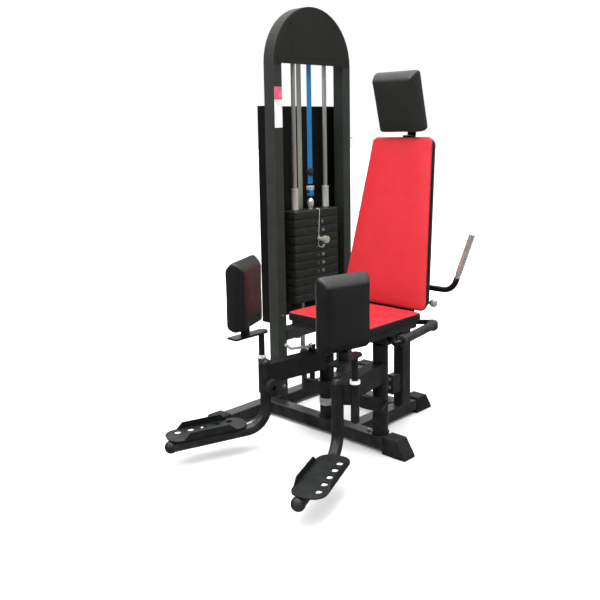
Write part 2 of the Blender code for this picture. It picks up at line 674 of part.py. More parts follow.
def foot_plate(name, side):
    """Sheet with rounded ends, two upturned flanges and a row of five holes."""
    away = (FOOT_END - LEG_XY).normalized()
    outward = Vector((-away.y, away.x))
    centre = LEG_XY + away * (TREAD_HEEL + TREAD_LEN / 2) + outward * TREAD_OUT
    run = Vector((side * away.x, away.y, -0.0326)).normalized()
    across = Vector((side * outward.x, outward.y, 0))
    plane = frame_at(side_vector(side, centre, TREAD_Z), run, across)
    x, y = TREAD_LEN / 2, TREAD_W / 2
    rim = round_outline([(-x, -y), (x, -y), (x, y), (-x, y)], 0.048, radians(15))
    holes = [circle((0.003 + 0.0515 * k, 0.028), 0.013, 16) for k in range(-2, 3)]
    plate = sheet(name, [rim, *holes], TREAD_T, plane, STEEL)
    up = side      # the plane's normal points down on the right side
    flanges = []
    for edge in (-1, 1):
        face = [(-0.106, -TREAD_T / 4), (0.106, -TREAD_T / 4), (0.078, FLANGE_H), (-0.074, FLANGE_H)]
        face = [(a, b * up) for a, b in face]
        lift = plane @ Matrix.Translation((0, edge * (y - TREAD_T / 2 - 0.0007), 0))
        upright = lift @ Matrix.Rotation(pi / 2, 4, "X")
        flanges.append(sheet("flange", [face], TREAD_T, upright, STEEL))
    return join(plate, *flanges)


def knee_bumper():
    """Rubber buffer on the inner side of the right foot tube, with a bolt hole."""
    x, y, z = -LEG_XY.x + ARM_W / 2 + 0.0065, LEG_XY.y - 0.002, 0.260
    body = cylinder("arm_bumper", 0.033, (x, y, z), (x + 0.022, y, z), RUBBER, 28)
    hole = cylinder("bumper_hole", 0.011, (x + 0.008, y, z), (x + 0.04, y, z), RUBBER, 16)
    return cut(body, hole)


# ---------------------------------------------------------------- pads
def pad_frame(side):
    """Forward and outward directions of a pad, seen from above."""
    turn = PAD_TURN[side]
    forward = Vector((-sin(turn) * side, -cos(turn)))
    outward = Vector((cos(turn) * side, -sin(turn)))
    return forward, outward


def pad_post(name, side):
    """Rod that turns in the socket, with the flat bar that carries the pad."""
    base = side_vector(side, ROD_XY)
    forward, outward = pad_frame(side)
    rod_low, bar = 0.226, (0.4560, 0.4640)
    post = cylinder(name, 0.0119, base + Vector((0, 0, rod_low)), base + Vector((0, 0, bar[0] + 0.004)),
                    GREY_PAINT, 20)
    aim = (forward * PAD_FORE + outward * PAD_OUT).normalized()
    across = Vector((-aim.y, aim.x)) * 0.025
    foot = Vector((base.x, base.y))
    rear, front = foot - aim * 0.026, foot + aim * 0.155
    chamfer = 0.4
    outline = [rear - across * chamfer, foot - across - aim * 0.010, front - across, front + across,
               foot + across - aim * 0.010, rear + across * chamfer]
    plate = sheet("pad_bar", [outline], bar[1] - bar[0],
                  frame_at((0, 0, sum(bar) / 2), (1, 0, 0), (0, 1, 0)), GREY_PAINT)
    centre = foot + aim * 0.085
    lug = cylinder("pad_lug", 0.018, (*centre, bar[1] - 0.002), (*centre, PAD_Z[0] - GAP), GREY_PAINT, 16)
    return join(post, plate, lug)


def thigh_pad(name, side):
    """Cushion block with rounded edges."""
    forward, outward = pad_frame(side)
    centre = Vector((side * ROD_XY.x, ROD_XY.y)) + forward * PAD_FORE + outward * PAD_OUT
    x, y = PAD_L / 2, PAD_T / 2
    outline = round_outline([(-x, -y), (x, -y), (x, y), (-x, y)], 0.020)
    plane = frame_at((*centre, sum(PAD_Z) / 2), (*forward, 0), (-forward.y, forward.x, 0))
    pad = sheet(name, [outline], PAD_Z[1] - PAD_Z[0], plane, BLACK_VINYL)
    soft_edges(pad, 0.019, 3)
    return pad


# ---------------------------------------------------------------- seat
def seat_frame():
    """Column, seat rail and cross bar over the posts, with the gusset between them."""
    rail_z = CROSSBAR_Z
    column = block("seat_frame", (-0.025, 0.320, BASE_TOP + GAP), (0.025, 0.380, rail_z[1] - 0.002),
                   GREY_PAINT, 0.004, 1)
    rail = block("seat_rail", (-0.024, 0.020, rail_z[0] + 0.0005), (0.024, 0.376, rail_z[1] - 0.0005),
                 GREY_PAINT)
    crossbar = block("cross_bar", (-0.183, 0.000, rail_z[0]), (0.183, 0.040, rail_z[1]),
                     GREY_PAINT, 0.003, 1)
    gusset_rim = [(0.322, 0.425), (0.240, 0.425), (0.262, 0.375), (0.290, 0.330), (0.322, 0.290)]
    gusset = sheet("gusset", [gusset_rim], 0.008, YZ, GREY_PAINT)
    lug = block("column_lug", (-0.017, 0.262, 0.120), (0.017, 0.322, 0.205), GREY_PAINT, 0.004, 1)
    return join(column, rail, crossbar, gusset, lug)


def seat_cushion():
    x = SEAT_W / 2
    outline = round_outline([(-x, SEAT_Y[0]), (x, SEAT_Y[0]), (x, SEAT_Y[1]), (-x, SEAT_Y[1])], 0.022)
    cushion = sheet("seat_cushion", [outline], SEAT_Z[1] - SEAT_Z[0],
                    frame_at((0, 0, sum(SEAT_Z) / 2), (1, 0, 0), (0, 1, 0)), RED_VINYL)
    soft_edges(cushion, 0.006, 2)
    return cushion


def seat_board():
    return block("seat_board", (-SEAT_W / 2 + 0.016, SEAT_Y[0] + 0.016, CROSSBAR_Z[1] + GAP),
                 (SEAT_W / 2 - 0.016, SEAT_Y[1] - 0.016, SEAT_Z[0] - GAP), BOARD)


HANDLE_X = 0.270


def side_handle(name, side):
    """Bent tube beside the seat, from behind the cushion to the cross bar."""
    path = [(0.0243, 0.222, 0.444), (0.048, 0.222, 0.444), (0.150, 0.222, 0.470),
            (HANDLE_X, 0.222, 0.489), (HANDLE_X, -0.060, 0.4595), (0.204, 0.016, 0.447),
            (0.1834, 0.016, 0.447)]
    path = [(side * x, y, z) for x, y, z in path]
    path = softened(path, [0.040, 0.050, 0.030, 0.012, 0.016], radians(22))
    return rod(name, path, 0.0100, BLACK_PAINT, 3)


def handle_grip(name, side):
    """Rubber sleeve with a flange at each end, on the side handle."""
    def at(t):
        return Vector((side * HANDLE_X, 0.184 - t * 0.201, 0.4850 - t * 0.0210))

    body = cylinder(name, 0.0165, at(0), at(1), RUBBER, 20)
    flanges = [cylinder("grip_flange", 0.023, at(a), at(b), RUBBER, 20)
               for a, b in ((-0.01, 0.06), (0.94, 1.01))]
    join(body, *flanges)
    return cut(body, cylinder("grip_bore", 0.0108, at(-0.2), at(1.2), RUBBER, 20))


# ---------------------------------------------------------------- backrest
def back_plane(depth):
    """Plane of the backrest, depth behind its front face; 2-D y runs up the back."""
    up = Vector((0, sin(BACK_TILT), cos(BACK_TILT)))
    behind = Vector((0, cos(BACK_TILT), -sin(BACK_TILT)))
    return frame_at(BACK_FOOT + behind * depth, (1, 0, 0), up)


def back_outline(inset):
    low, top = BACK_W / 2 - inset, BACK_TOP_W / 2 - inset
    return round_outline([(-low, inset), (low, inset), (top, BACK_LEN - inset),
                          (-top, BACK_LEN - inset)], 0.026)


def backrest_cushion():
    cushion = sheet("backrest_cushion", [back_outline(0)], BACK_T, back_plane(BACK_T / 2), RED_VINYL)
    soft_edges(cushion, 0.005, 2)
    return cushion


def backrest_board():
    return sheet("backrest_board", [back_outline(0.004)], BOARD_T,
                 back_plane(BACK_T + GAP + BOARD_T / 2), BOARD)


HINGE_YZ = (0.300, 0.500)         # tilt axis of the backrest, over the seat rail
PIN_YZ = (0.330, 0.531)           # pull pin that locks the tilt
LEVER_YZ = (0.3150, 0.5970)       # axis of the hand lever behind the backrest
MAST_T, MAST_DEPTH = 0.030, BACK_T + BOARD_T + 2 * GAP + 0.015


def along_back(height, depth):
    """Y and Z of a point on the backrest: height up its face, depth behind it."""
    return (BACK_FOOT.y + depth * cos(BACK_TILT) + height * sin(BACK_TILT),
            BACK_FOOT.z - depth * sin(BACK_TILT) + height * cos(BACK_TILT))


def backrest_frame():
    """Tilting mast behind the board: hinge knuckle, locking sector, lever sleeve and the
    bent bar that carries the headrest, in one weldment."""
    near, far = MAST_DEPTH - MAST_T / 2, MAST_DEPTH + MAST_T / 2
    mast_rim = [along_back(0.040, near), along_back(0.700, near), along_back(0.700, far),
                along_back(0.040, far)]
    mast = sheet("backrest_frame", [mast_rim], 0.044, YZ, BLACK_PAINT)
    soft_edges(mast, 0.003, 1)
    neck_rim = [(HINGE_YZ[0] - 0.014, HINGE_YZ[1] - 0.004), along_back(0.100, near + 0.003),
                along_back(0.100, far - 0.003), (LEVER_YZ[0] + 0.006, LEVER_YZ[1] + 0.004),
                (PIN_YZ[0] + 0.010, PIN_YZ[1] + 0.012),
                (PIN_YZ[0] + 0.010, PIN_YZ[1] - 0.010), (HINGE_YZ[0] + 0.012, HINGE_YZ[1] - 0.010)]
    neck = sheet("neck", [neck_rim], 0.040, YZ, BLACK_PAINT)
    sleeve = cylinder("lever_sleeve", 0.0160, (-0.030, *LEVER_YZ), (0.030, *LEVER_YZ),
                      BLACK_PAINT, 20)
    bar = headrest_bar()
    join(mast, neck, sleeve, bar)
    bores = [cylinder("tilt_bore", 0.0083, (-0.05, *HINGE_YZ), (0.05, *HINGE_YZ), STEEL, 16),
             cylinder("pin_bore", 0.0073, (0.000, *PIN_YZ), (0.05, *PIN_YZ), STEEL, 16),
             cylinder("lever_bore", 0.0106, (-0.05, *LEVER_YZ), (0.05, *LEVER_YZ), STEEL, 20)]
    return cut(mast, *bores)


def headrest_bar():
    """Flat bar from the back of the mast, bent forward and up behind the headrest."""
    behind = MAST_DEPTH + MAST_T / 2 + 0.0027
    up = Vector((-sin(HEAD_TILT), cos(HEAD_TILT)))
    back = Vector(HEAD_FOOT) + Vector((cos(HEAD_TILT), sin(HEAD_TILT))) * (HEAD_T + GAP + 0.003)
    path = softened([along_back(0.580, behind), along_back(0.722, behind), back + up * 0.030,
                     back + up * 0.160], [0.020, 0.030], radians(15))
    left, right = [], []
    for k, point in enumerate(path):
        along = (path[min(k + 1, len(path) - 1)] - path[max(k - 1, 0)]).normalized()
        normal = Vector((-along.y, along.x)) * 0.003
        left.append(point + normal)
        right.append(point - normal)
    return sheet("headrest_bar", [left + right[::-1]], 0.040, YZ, BLACK_PAINT)


HEAD_FOOT = (0.3149, 1.2160)      # Y and Z of the headrest's lower front edge
HEAD_LEN, HEAD_W, HEAD_T = 0.247, 0.216, 0.080


def headrest_pad():
    """Block cushion, tipped forward over the backrest."""
    half = HEAD_W / 2
    outline = round_outline([(-half, 0), (half, 0), (half, HEAD_LEN), (-half, HEAD_LEN)], 0.022)
    face = Vector((0, *HEAD_FOOT)) + Vector((0, cos(HEAD_TILT), sin(HEAD_TILT))) * HEAD_T / 2
    plane = frame_at(face, (1, 0, 0), (0, -sin(HEAD_TILT), cos(HEAD_TILT)))
    pad = sheet("headrest_pad", [outline], HEAD_T, plane, BLACK_VINYL)
    soft_edges(pad, 0.014, 2)
    return pad


def hand_lever():
    """Bent bar beside the backrest, turning in the sleeve behind it."""
    y, z = LEVER_YZ
    path = softened([(-0.040, y, z), (0.272, y, z + 0.001), (0.3580, y, 0.833)], [0.065], radians(12))
    return rod("hand_lever", path, 0.0100, CHROME, 3)


def tilt_pull_pin():
    """Spring pin with a ball knob, in the sleeve beside the hinge."""
    pin = cylinder("tilt_pull_pin", 0.0068, (0.0210, *PIN_YZ), (0.166, *PIN_YZ), CHROME, 16)
    return join(pin, ball("pin_ball", 0.0172, (0.172, *PIN_YZ), CHROME, 16))


RANGE_PIVOT = (-0.1565, -0.050, 0.372)


def range_lever():
    """Thumb lever over the right arm, turned up at the tip."""
    x, y, z = RANGE_PIVOT
    bar = rod("range_lever", softened([(x, y, z), (x, -0.174, 0.388), (x, -0.200, 0.410)],
                                      [0.018], radians(12)), 0.0060, CHROME, 2)
    eye = cylinder("lever_eye", 0.0085, (x - 0.006, y, z), (x + 0.006, y, z), CHROME, 16)
    join(bar, eye)
    return cut(bar, cylinder("eye_bore", 0.0043, (x - 0.02, y, z), (x + 0.02, y, z), CHROME, 12))


def lever_clevis():
    """Two ears and a pin on top of the right arm, as tools for a union."""
    x, y, z = RANGE_PIVOT
    ears = [block("clevis_ear", (x + a, y - 0.009, ARM_Z[1] - 0.006), (x + b, y + 0.009, z + 0.009),
                  GREY_PAINT) for a, b in ((-0.011, -0.007), (0.007, 0.011))]
    pin = cylinder("clevis_pin", 0.0038, (x - 0.010, y, z), (x + 0.010, y, z), STEEL, 12)
    return [*ears, pin]


def seat_ears():
    """Hinge ears and pin for the backrest, and the pull pin's sleeve, as tools for a union."""
    rim = [(HINGE_YZ[0] - 0.020, 0.455), (HINGE_YZ[0] - 0.016, HINGE_YZ[1] + 0.010),
           (HINGE_YZ[0] + 0.002, HINGE_YZ[1] + 0.020), (PIN_YZ[0] - 0.010, PIN_YZ[1] + 0.018),
           (PIN_YZ[0] + 0.016, PIN_YZ[1] + 0.014), (PIN_YZ[0] + 0.022, 0.455)]
    ears = [sheet("hinge_ear", [rim], 0.004, YZ @ Matrix.Translation((0, 0, x)), GREY_PAINT)
            for x in (-0.0243, 0.0243)]
    base = block("ear_base", (-0.026, HINGE_YZ[0] - 0.019, 0.452), (0.026, PIN_YZ[0] + 0.021, 0.466),
                 GREY_PAINT)
    pin = cylinder("tilt_axle", 0.0078, (-0.034, *HINGE_YZ), (0.034, *HINGE_YZ), STEEL, 16)
    sleeve = cylinder("pull_sleeve", 0.0120, (0.024, *PIN_YZ), (0.130, *PIN_YZ), BLACK_PAINT, 20)
    return [*ears, base, pin, sleeve]


def pulley_fork(pulley_z, base_z, span):
    """Two ears and a base that hold a belt pulley, as tools for a union."""
    low, high = sorted((base_z, pulley_z + (0.016 if pulley_z > base_z else -0.016)))
    ears = [block("fork_ear", (PULLEY_X - 0.014, TOWER_MID + near, low),
                  (PULLEY_X + 0.016, TOWER_MID + far, high), GREY_PAINT)
            for near, far in ((-0.030, -0.025), (0.025, 0.030))]
    floor = block("fork_base", (span[0], TOWER_MID - 0.0295, base_z), (span[1], TOWER_MID + 0.0295,
                  base_z + 0.012), GREY_PAINT)
    return [*ears, floor]


# ---------------------------------------------------------------- assembly
machine = empty("machine", (0, 0, 0))
base = base_frame()
join(base, *pulley_fork(LOW_PULLEY_Z, BASE_TOP - 0.004, (PULLEY_X - 0.0135, PULLEY_X + 0.034)))
cut(base, cylinder("low_axle_bore", 0.0073, (PULLEY_X, TOWER_MID - 0.05, LOW_PULLEY_Z),
                   (PULLEY_X, TOWER_MID + 0.05, LOW_PULLEY_Z), STEEL, 12))
tower = tower_frame()
join(tower, *pulley_fork(TOP_PULLEY_Z, TOP_BAR_Z[1] - 0.004, (PULLEY_X - 0.0135, PULLEY_X + 0.0155)))
cut(tower, cylinder("top_axle_bore", 0.0073, (PULLEY_X, TOWER_MID - 0.05, TOP_PULLEY_Z),
                    (PULLEY_X, TOWER_MID + 0.05, TOP_PULLEY_Z), STEEL, 12))
fixed = [base, tower,
         boot("boot_side_front", (SIDE_X, SIDE_Y[0]), (0, -1)),
         boot("boot_side_rear", (SIDE_X, SIDE_Y[1]), (0, 1)),
         boot("boot_cross_front", (CROSS_END_X, 0.005), (1, 0)),
         boot("boot_centre_rear", (0, CENTRE_END_Y), (0, 1)),
         arch_cover(), rear_shroud(), *guide_rods(), *stack_buffers(), belt_return(),
         pivot_post("pivot_post_left", 1), pivot_post("pivot_post_right", -1)]
seat = seat_frame()
join(seat, *seat_ears())
cut(seat, cylinder("pull_bore", 0.0073, (0.010, *PIN_YZ), (0.150, *PIN_YZ), STEEL, 16))
fixed += [seat, seat_cushion(), seat_board()]
for side, word in ((1, "left"), (-1, "right")):
    fixed += [side_handle(f"side_handle_{word}", side), handle_grip(f"handle_grip_{word}", side)]
hang(fixed, machine)

stack_axis = empty("stack_slide_axis", (SIDE_X, TOWER_MID, STACK_TOP), machine)
plates = weight_plates()
hang(plates[PIN_PLATE:], machine)
hang([head_plate(), *plates[:PIN_PLATE], selector_pin(), pin_lanyard(), belt_clamp(), belt_stop(),
      belt_front()], stack_axis)

for name, z in (("top_pulley", TOP_PULLEY_Z), ("low_pulley", LOW_PULLEY_Z)):
    wheel_axis = empty(f"{name}_axis", (PULLEY_X, TOWER_MID, z), machine)
    hang([belt_pulley(name, z)], wheel_axis)

for side, word in ((1, "left"), (-1, "right")):
    arm_axis = empty(f"arm_{word}_axis", (side * POST_X, POST_Y, 0.3), machine)
    arm = swing_arm(f"swing_arm_{word}", side, HUB_LOW)
    carried = [arm, cam(f"cam_{word}", side), foot_plate(f"foot_plate_{word}", side),
               ring(f"rod_bush_{word}", 0.0185, 0.0124, 0.3543, 0.3660, side * ROD_XY.x, ROD_XY.y,
                    NYLON)]
    if side < 0:
        join(arm, *lever_clevis())
        carried.append(knee_bumper())
    hang(carried, arm_axis)
    pad_axis = empty(f"pad_{word}_axis", side_vector(side, ROD_XY, 0.4), arm_axis)
    hang([pad_post(f"pad_post_{word}", side), thigh_pad(f"thigh_pad_{word}", side)], pad_axis)
    if side < 0:
        lever_axis = empty("range_lever_axis", RANGE_PIVOT, arm_axis)
        hang([range_lever()], lever_axis)

tilt_axis = empty("backrest_tilt_axis", (0, *HINGE_YZ), machine)
hang([backrest_frame(), backrest_cushion(), backrest_board(), headrest_pad()], tilt_axis)
hand_axis = empty("hand_lever_axis", (0, *LEVER_YZ), tilt_axis)
hang([hand_lever()], hand_axis)
pin_axis = empty("tilt_pin_axis", (0, *PIN_YZ), machine)
hang([tilt_pull_pin()], pin_axis)

machine.location = ORIGIN_SHIFT
bpy.context.view_layer.update()
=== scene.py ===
"""The looks of the hip abductor machine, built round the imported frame."""
from math import ceil, cos, pi, radians, sin, tan

import bmesh
import bpy
from mathutils import Matrix, Vector, noise
from mathutils.bvhtree import BVHTree


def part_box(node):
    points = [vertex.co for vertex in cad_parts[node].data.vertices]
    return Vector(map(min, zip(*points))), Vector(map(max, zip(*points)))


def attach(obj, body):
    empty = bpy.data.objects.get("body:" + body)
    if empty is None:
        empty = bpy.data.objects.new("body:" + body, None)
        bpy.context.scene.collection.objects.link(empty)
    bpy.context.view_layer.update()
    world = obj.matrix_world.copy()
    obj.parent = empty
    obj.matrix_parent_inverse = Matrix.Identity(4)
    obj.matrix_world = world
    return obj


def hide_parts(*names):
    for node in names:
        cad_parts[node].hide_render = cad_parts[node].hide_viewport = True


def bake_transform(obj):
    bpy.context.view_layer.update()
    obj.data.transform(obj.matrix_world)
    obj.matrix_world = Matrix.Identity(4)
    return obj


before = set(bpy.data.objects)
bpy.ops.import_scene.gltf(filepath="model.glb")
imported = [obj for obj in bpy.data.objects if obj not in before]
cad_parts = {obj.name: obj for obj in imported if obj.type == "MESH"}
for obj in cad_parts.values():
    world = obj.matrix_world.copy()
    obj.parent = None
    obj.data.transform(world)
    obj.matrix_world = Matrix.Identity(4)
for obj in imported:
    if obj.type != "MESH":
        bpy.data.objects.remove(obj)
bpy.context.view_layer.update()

TOWER_MID = 0.292


def middle(node):
    low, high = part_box(node)
    return (Vector(low) + Vector(high)) / 2


# Places below are measured from the seat's mid-plane, the front cross beam and the floor.
SHIFT = Vector((middle("seat_cushion").x, middle("tower_frame").y - TOWER_MID, 0))


def place(x, y, z):
    return Vector((x, y, z)) + SHIFT


# ---------------------------------------------------------------- camera, light and floor
def axes(right, up, origin):
    """A matrix whose X and Y are the given directions."""
    right, up = Vector(right).normalized(), Vector(up).normalized()
    made = Matrix((right, up, right.cross(up))).transposed().to_4x4()
    made.translation = origin
    return made


def make_camera():
    turn, lift, roll = radians(44.14), radians(8.63), radians(-1.01)
    forward = -Vector((sin(turn) * cos(lift), -cos(turn) * cos(lift), sin(lift)))
    right = forward.cross(Vector((0, 0, 1))).normalized()
    up = right.cross(forward)
    data = bpy.data.cameras.new("camera")
    data.sensor_width = 36
    data.lens = 46.746
    data.shift_x, data.shift_y = 0.0035, -0.0942
    camera = bpy.data.objects.new("camera", data)
    camera.matrix_world = axes(right * cos(roll) + up * sin(roll), up * cos(roll) - right * sin(roll),
                               place(1.945, -2.287, 1.26))
    bpy.context.scene.collection.objects.link(camera)
    bpy.context.scene.camera = camera


def area_light(name, origin, target, size, power, tint=(1, 1, 1)):
    data = bpy.data.lights.new(name, "AREA")
    data.shape = "RECTANGLE"
    data.size, data.size_y = size
    data.energy = power
    data.color = tint
    light = bpy.data.objects.new(name, data)
    light.location = origin
    light.rotation_euler = (Vector(target) - Vector(origin)).to_track_quat("-Z", "Y").to_euler()
    bpy.context.scene.collection.objects.link(light)


make_camera()
bpy.context.scene.view_settings.view_transform = "Standard"
area_light("key_light", (-0.4, -4.2, 2.9), (0, 0, 0.8), (2.6, 2.0), 46)
area_light("top_light", (0.5, -0.4, 4.0), (0, 0, 0.5), (2.6, 2.6), 100)


def studio_world():
    """White to the camera. The object itself sees a soft box overhead, a pale backdrop behind
    it, a dim wall to the right and a dark room below."""
    world = bpy.data.worlds.new("studio")
    world.use_nodes = True
    tree = world.node_tree
    background = tree.nodes["Background"]
    coords = tree.nodes.new("ShaderNodeTexCoord").outputs["Generated"]
    parts = tree.nodes.new("ShaderNodeSeparateXYZ")
    tree.links.new(coords, parts.inputs["Vector"])
    overhead = tree.nodes.new("ShaderNodeMapRange")
    overhead.interpolation_type = "SMOOTHSTEP"
    for name, value in (("From Min", 0.22), ("From Max", 1.0), ("To Min", 0.05), ("To Max", 2.70)):
        overhead.inputs[name].default_value = value
    tree.links.new(parts.outputs["Z"], overhead.inputs["Value"])
    light = overhead.outputs["Result"]
    for direction, start, strength in (((0.69, 0.71, -0.10), 0.70, 0.16), ((-0.69, 0.70, 0.22), 0.60, 0.85)):
        toward = tree.nodes.new("ShaderNodeVectorMath")
        toward.operation = "DOT_PRODUCT"
        toward.inputs[1].default_value = direction
        tree.links.new(coords, toward.inputs[0])
        both = tree.nodes.new("ShaderNodeMath")
        both.operation = "ADD"
        tree.links.new(light, both.inputs[0])
        tree.links.new(mapped(tree, toward.outputs["Value"], start, 0.95, 0.0, strength), both.inputs[1])
        light = both.outputs["Value"]
    seen = tree.nodes.new("ShaderNodeLightPath")
    pick = tree.nodes.new("ShaderNodeMix")
    pick.data_type = "FLOAT"
    pick.inputs["B"].default_value = 1.0
    tree.links.new(seen.outputs["Is Camera Ray"], pick.inputs["Factor"])
    tree.links.new(light, pick.inputs["A"])
    tree.links.new(pick.outputs["Result"], background.inputs["Strength"])
    background.inputs["Color"].default_value = (1, 1, 1, 1)
    bpy.context.scene.world = world


# ---------------------------------------------------------------- materials


def link(tree, source, target):
    tree.links.new(source, target)


def texture(tree, kind, coords, scale, stretch=(1, 1, 1), **values):
    """A procedural texture in the piece's own metres."""
    mapping = tree.nodes.new("ShaderNodeMapping")
    mapping.inputs["Scale"].default_value = stretch
    link(tree, coords, mapping.inputs["Vector"])
    node = tree.nodes.new(kind)
    link(tree, mapping.outputs["Vector"], node.inputs["Vector"])
    node.inputs["Scale"].default_value = scale
    for name, value in values.items():
        if name in node.inputs:
            node.inputs[name].default_value = value
        else:
            setattr(node, name, value)
    return node


def mapped(tree, source, low, high, to_low, to_high):
    """A value brought from one range to another, and held inside it."""
    node = tree.nodes.new("ShaderNodeMapRange")
    node.inputs["From Min"].default_value, node.inputs["From Max"].default_value = low, high
    node.inputs["To Min"].default_value, node.inputs["To Max"].default_value = to_low, to_high
    link(tree, source, node.inputs["Value"])
    return node.outputs["Result"]


def blended(tree, factor, first, second):
    """Two colours mixed by a factor. Either colour may be a socket."""
    node = tree.nodes.new("ShaderNodeMix")
    node.data_type = "RGBA"
    link(tree, factor, node.inputs["Factor"])
    for socket, colour in ((node.inputs["A"], first), (node.inputs["B"], second)):
        if isinstance(colour, tuple):
            socket.default_value = (*colour, 1)
        else:
            link(tree, colour, socket)
    return node.outputs["Result"]


def bumped(tree, height, distance, strength, under=None):
    node = tree.nodes.new("ShaderNodeBump")
    node.inputs["Distance"].default_value = distance
    node.inputs["Strength"].default_value = strength
    link(tree, height, node.inputs["Height"])
    if under:
        link(tree, under, node.inputs["Normal"])
    return node.outputs["Normal"]


def new_material(name, **sockets):
    material = bpy.data.materials.new(name)
    material.use_nodes = True
    tree = material.node_tree
    shader = tree.nodes["Principled BSDF"]
    for socket, value in sockets.items():
        shader.inputs[socket.replace("_", " ")].default_value = value
    coords = tree.nodes.new("ShaderNodeTexCoord").outputs["Object"]
    return material, tree, shader, coords


def painted(name, colour, worn, rough, grain=900.0, depth=0.00012, dust=0.05, gloss=0.38):
    """Powder coat: soft mottling, fine texture, faint scuffs and a little dust low down."""
    material, tree, shader, coords = new_material(name, Specular_IOR_Level=gloss)
    mottle = texture(tree, "ShaderNodeTexNoise", coords, 9.0, Detail=5.0, Roughness=0.6)
    shade = tuple(c * 0.78 for c in colour)
    tone = blended(tree, mapped(tree, mottle.outputs["Fac"], 0.35, 0.65, 0, 1), shade, colour)
    scuff = texture(tree, "ShaderNodeTexNoise", coords, 42.0, (1, 1, 0.3), Detail=8.0, Roughness=0.72,
                    Distortion=1.2)
    mark = mapped(tree, scuff.outputs["Fac"], 0.68, 0.80, 0, 0.4)
    tone = blended(tree, mark, tone, worn)
    height = tree.nodes.new("ShaderNodeSeparateXYZ")
    link(tree, coords, height.inputs["Vector"])
    powder = texture(tree, "ShaderNodeTexNoise", coords, 26.0, Detail=6.0)
    low_down = mapped(tree, height.outputs["Z"], 0.0, 0.5, dust, 0.0)
    amount = tree.nodes.new("ShaderNodeMath")
    amount.operation = "MULTIPLY"
    link(tree, low_down, amount.inputs[0])
    link(tree, mapped(tree, powder.outputs["Fac"], 0.4, 0.7, 0.3, 1.5), amount.inputs[1])
    tone = blended(tree, amount.outputs["Value"], tone, (0.30, 0.29, 0.27))
    link(tree, tone, shader.inputs["Base Color"])
    link(tree, mapped(tree, scuff.outputs["Fac"], 0.3, 0.75, rough - 0.06, rough + 0.12),
         shader.inputs["Roughness"])
    skin = texture(tree, "ShaderNodeTexNoise", coords, grain, Detail=2.0)
    wave = texture(tree, "ShaderNodeTexNoise", coords, 60.0, Detail=1.0)
    under = bumped(tree, wave.outputs["Fac"], 0.0005, 0.12)
    link(tree, bumped(tree, skin.outputs["Fac"], depth, 0.55, under), shader.inputs["Normal"])
    return material


def metal(name, colour, rough, streak=(1, 1, 0.04), depth=0.00002, metallic=1.0, tarnish=0.28):
    """Plated or bare metal with fine drawn lines and a little tarnish."""
    material, tree, shader, coords = new_material(name, Metallic=metallic)
    cloud = texture(tree, "ShaderNodeTexNoise", coords, 30.0, Detail=6.0, Roughness=0.65)
    dull = tuple(c * (1 - tarnish) for c in colour)
    link(tree, blended(tree, mapped(tree, cloud.outputs["Fac"], 0.38, 0.66, 0, 1), colour, dull),
         shader.inputs["Base Color"])
    lines = texture(tree, "ShaderNodeTexNoise", coords, 300.0, streak, Detail=2.0)
    link(tree, mapped(tree, cloud.outputs["Fac"], 0.3, 0.7, rough * (1 - tarnish),
                      rough * (1 + 2.5 * tarnish)), shader.inputs["Roughness"])
    link(tree, bumped(tree, lines.outputs["Fac"], depth, 0.08), shader.inputs["Normal"])
    return material


def grained(name, colour, rough=0.42, side=None, along=None, edge=0.0, sheen=0.08, gloss=0.42):
    """Upholstery vinyl with a pebbled grain. With side, that colour covers what lies further
    along the given axis than edge, as the sewn border of a cushion does."""
    material, tree, shader, coords = new_material(name, Sheen_Weight=sheen, Sheen_Roughness=0.5,
                                                  Specular_IOR_Level=gloss)
    soft = texture(tree, "ShaderNodeTexNoise", coords, 14.0, Detail=4.0, Roughness=0.55)
    tint = mapped(tree, soft.outputs["Fac"], 0.35, 0.65, 0, 1)
    tone = blended(tree, tint, tuple(c * 0.93 for c in colour), colour)
    if side:
        far = tree.nodes.new("ShaderNodeVectorMath")
        far.operation = "DOT_PRODUCT"
        link(tree, coords, far.inputs[0])
        far.inputs[1].default_value = along
        mask = mapped(tree, far.outputs["Value"], edge, edge + 0.0004, 0, 1)
        border = blended(tree, tint, tuple(c * 0.8 for c in side), side)
        tone = blended(tree, mask, tone, border)
    link(tree, tone, shader.inputs["Base Color"])
    pebble = texture(tree, "ShaderNodeTexVoronoi", coords, 620.0, feature="SMOOTH_F1", Smoothness=0.6)
    pore = texture(tree, "ShaderNodeTexNoise", coords, 1500.0, Detail=2.0)
    crease = texture(tree, "ShaderNodeTexNoise", coords, 38.0, Detail=5.0, Roughness=0.6, Distortion=0.8)
    under = bumped(tree, crease.outputs["Fac"], 0.0011, 0.22)
    under = bumped(tree, pore.outputs["Fac"], 0.00008, 0.4, under)
    link(tree, bumped(tree, pebble.outputs["Distance"], 0.00022, 0.5, under), shader.inputs["Normal"])
    link(tree, mapped(tree, crease.outputs["Fac"], 0.3, 0.7, rough - 0.05, rough + 0.09),
         shader.inputs["Roughness"])
    return material


def rubbery(name, colour, rough=0.78, grain=420.0, depth=0.0003):
    material, tree, shader, coords = new_material(name, Specular_IOR_Level=0.32)
    bloom = texture(tree, "ShaderNodeTexNoise", coords, 22.0, Detail=6.0, Roughness=0.62)
    pale = tuple(min(1, c * 1.9 + 0.012) for c in colour)
    link(tree, blended(tree, mapped(tree, bloom.outputs["Fac"], 0.42, 0.72, 0, 1), colour, pale),
         shader.inputs["Base Color"])
    skin = texture(tree, "ShaderNodeTexNoise", coords, grain, Detail=4.0)
    link(tree, bumped(tree, skin.outputs["Fac"], depth, 0.4), shader.inputs["Normal"])
    link(tree, mapped(tree, bloom.outputs["Fac"], 0.3, 0.7, rough - 0.1, rough + 0.08),
         shader.inputs["Roughness"])
    return material


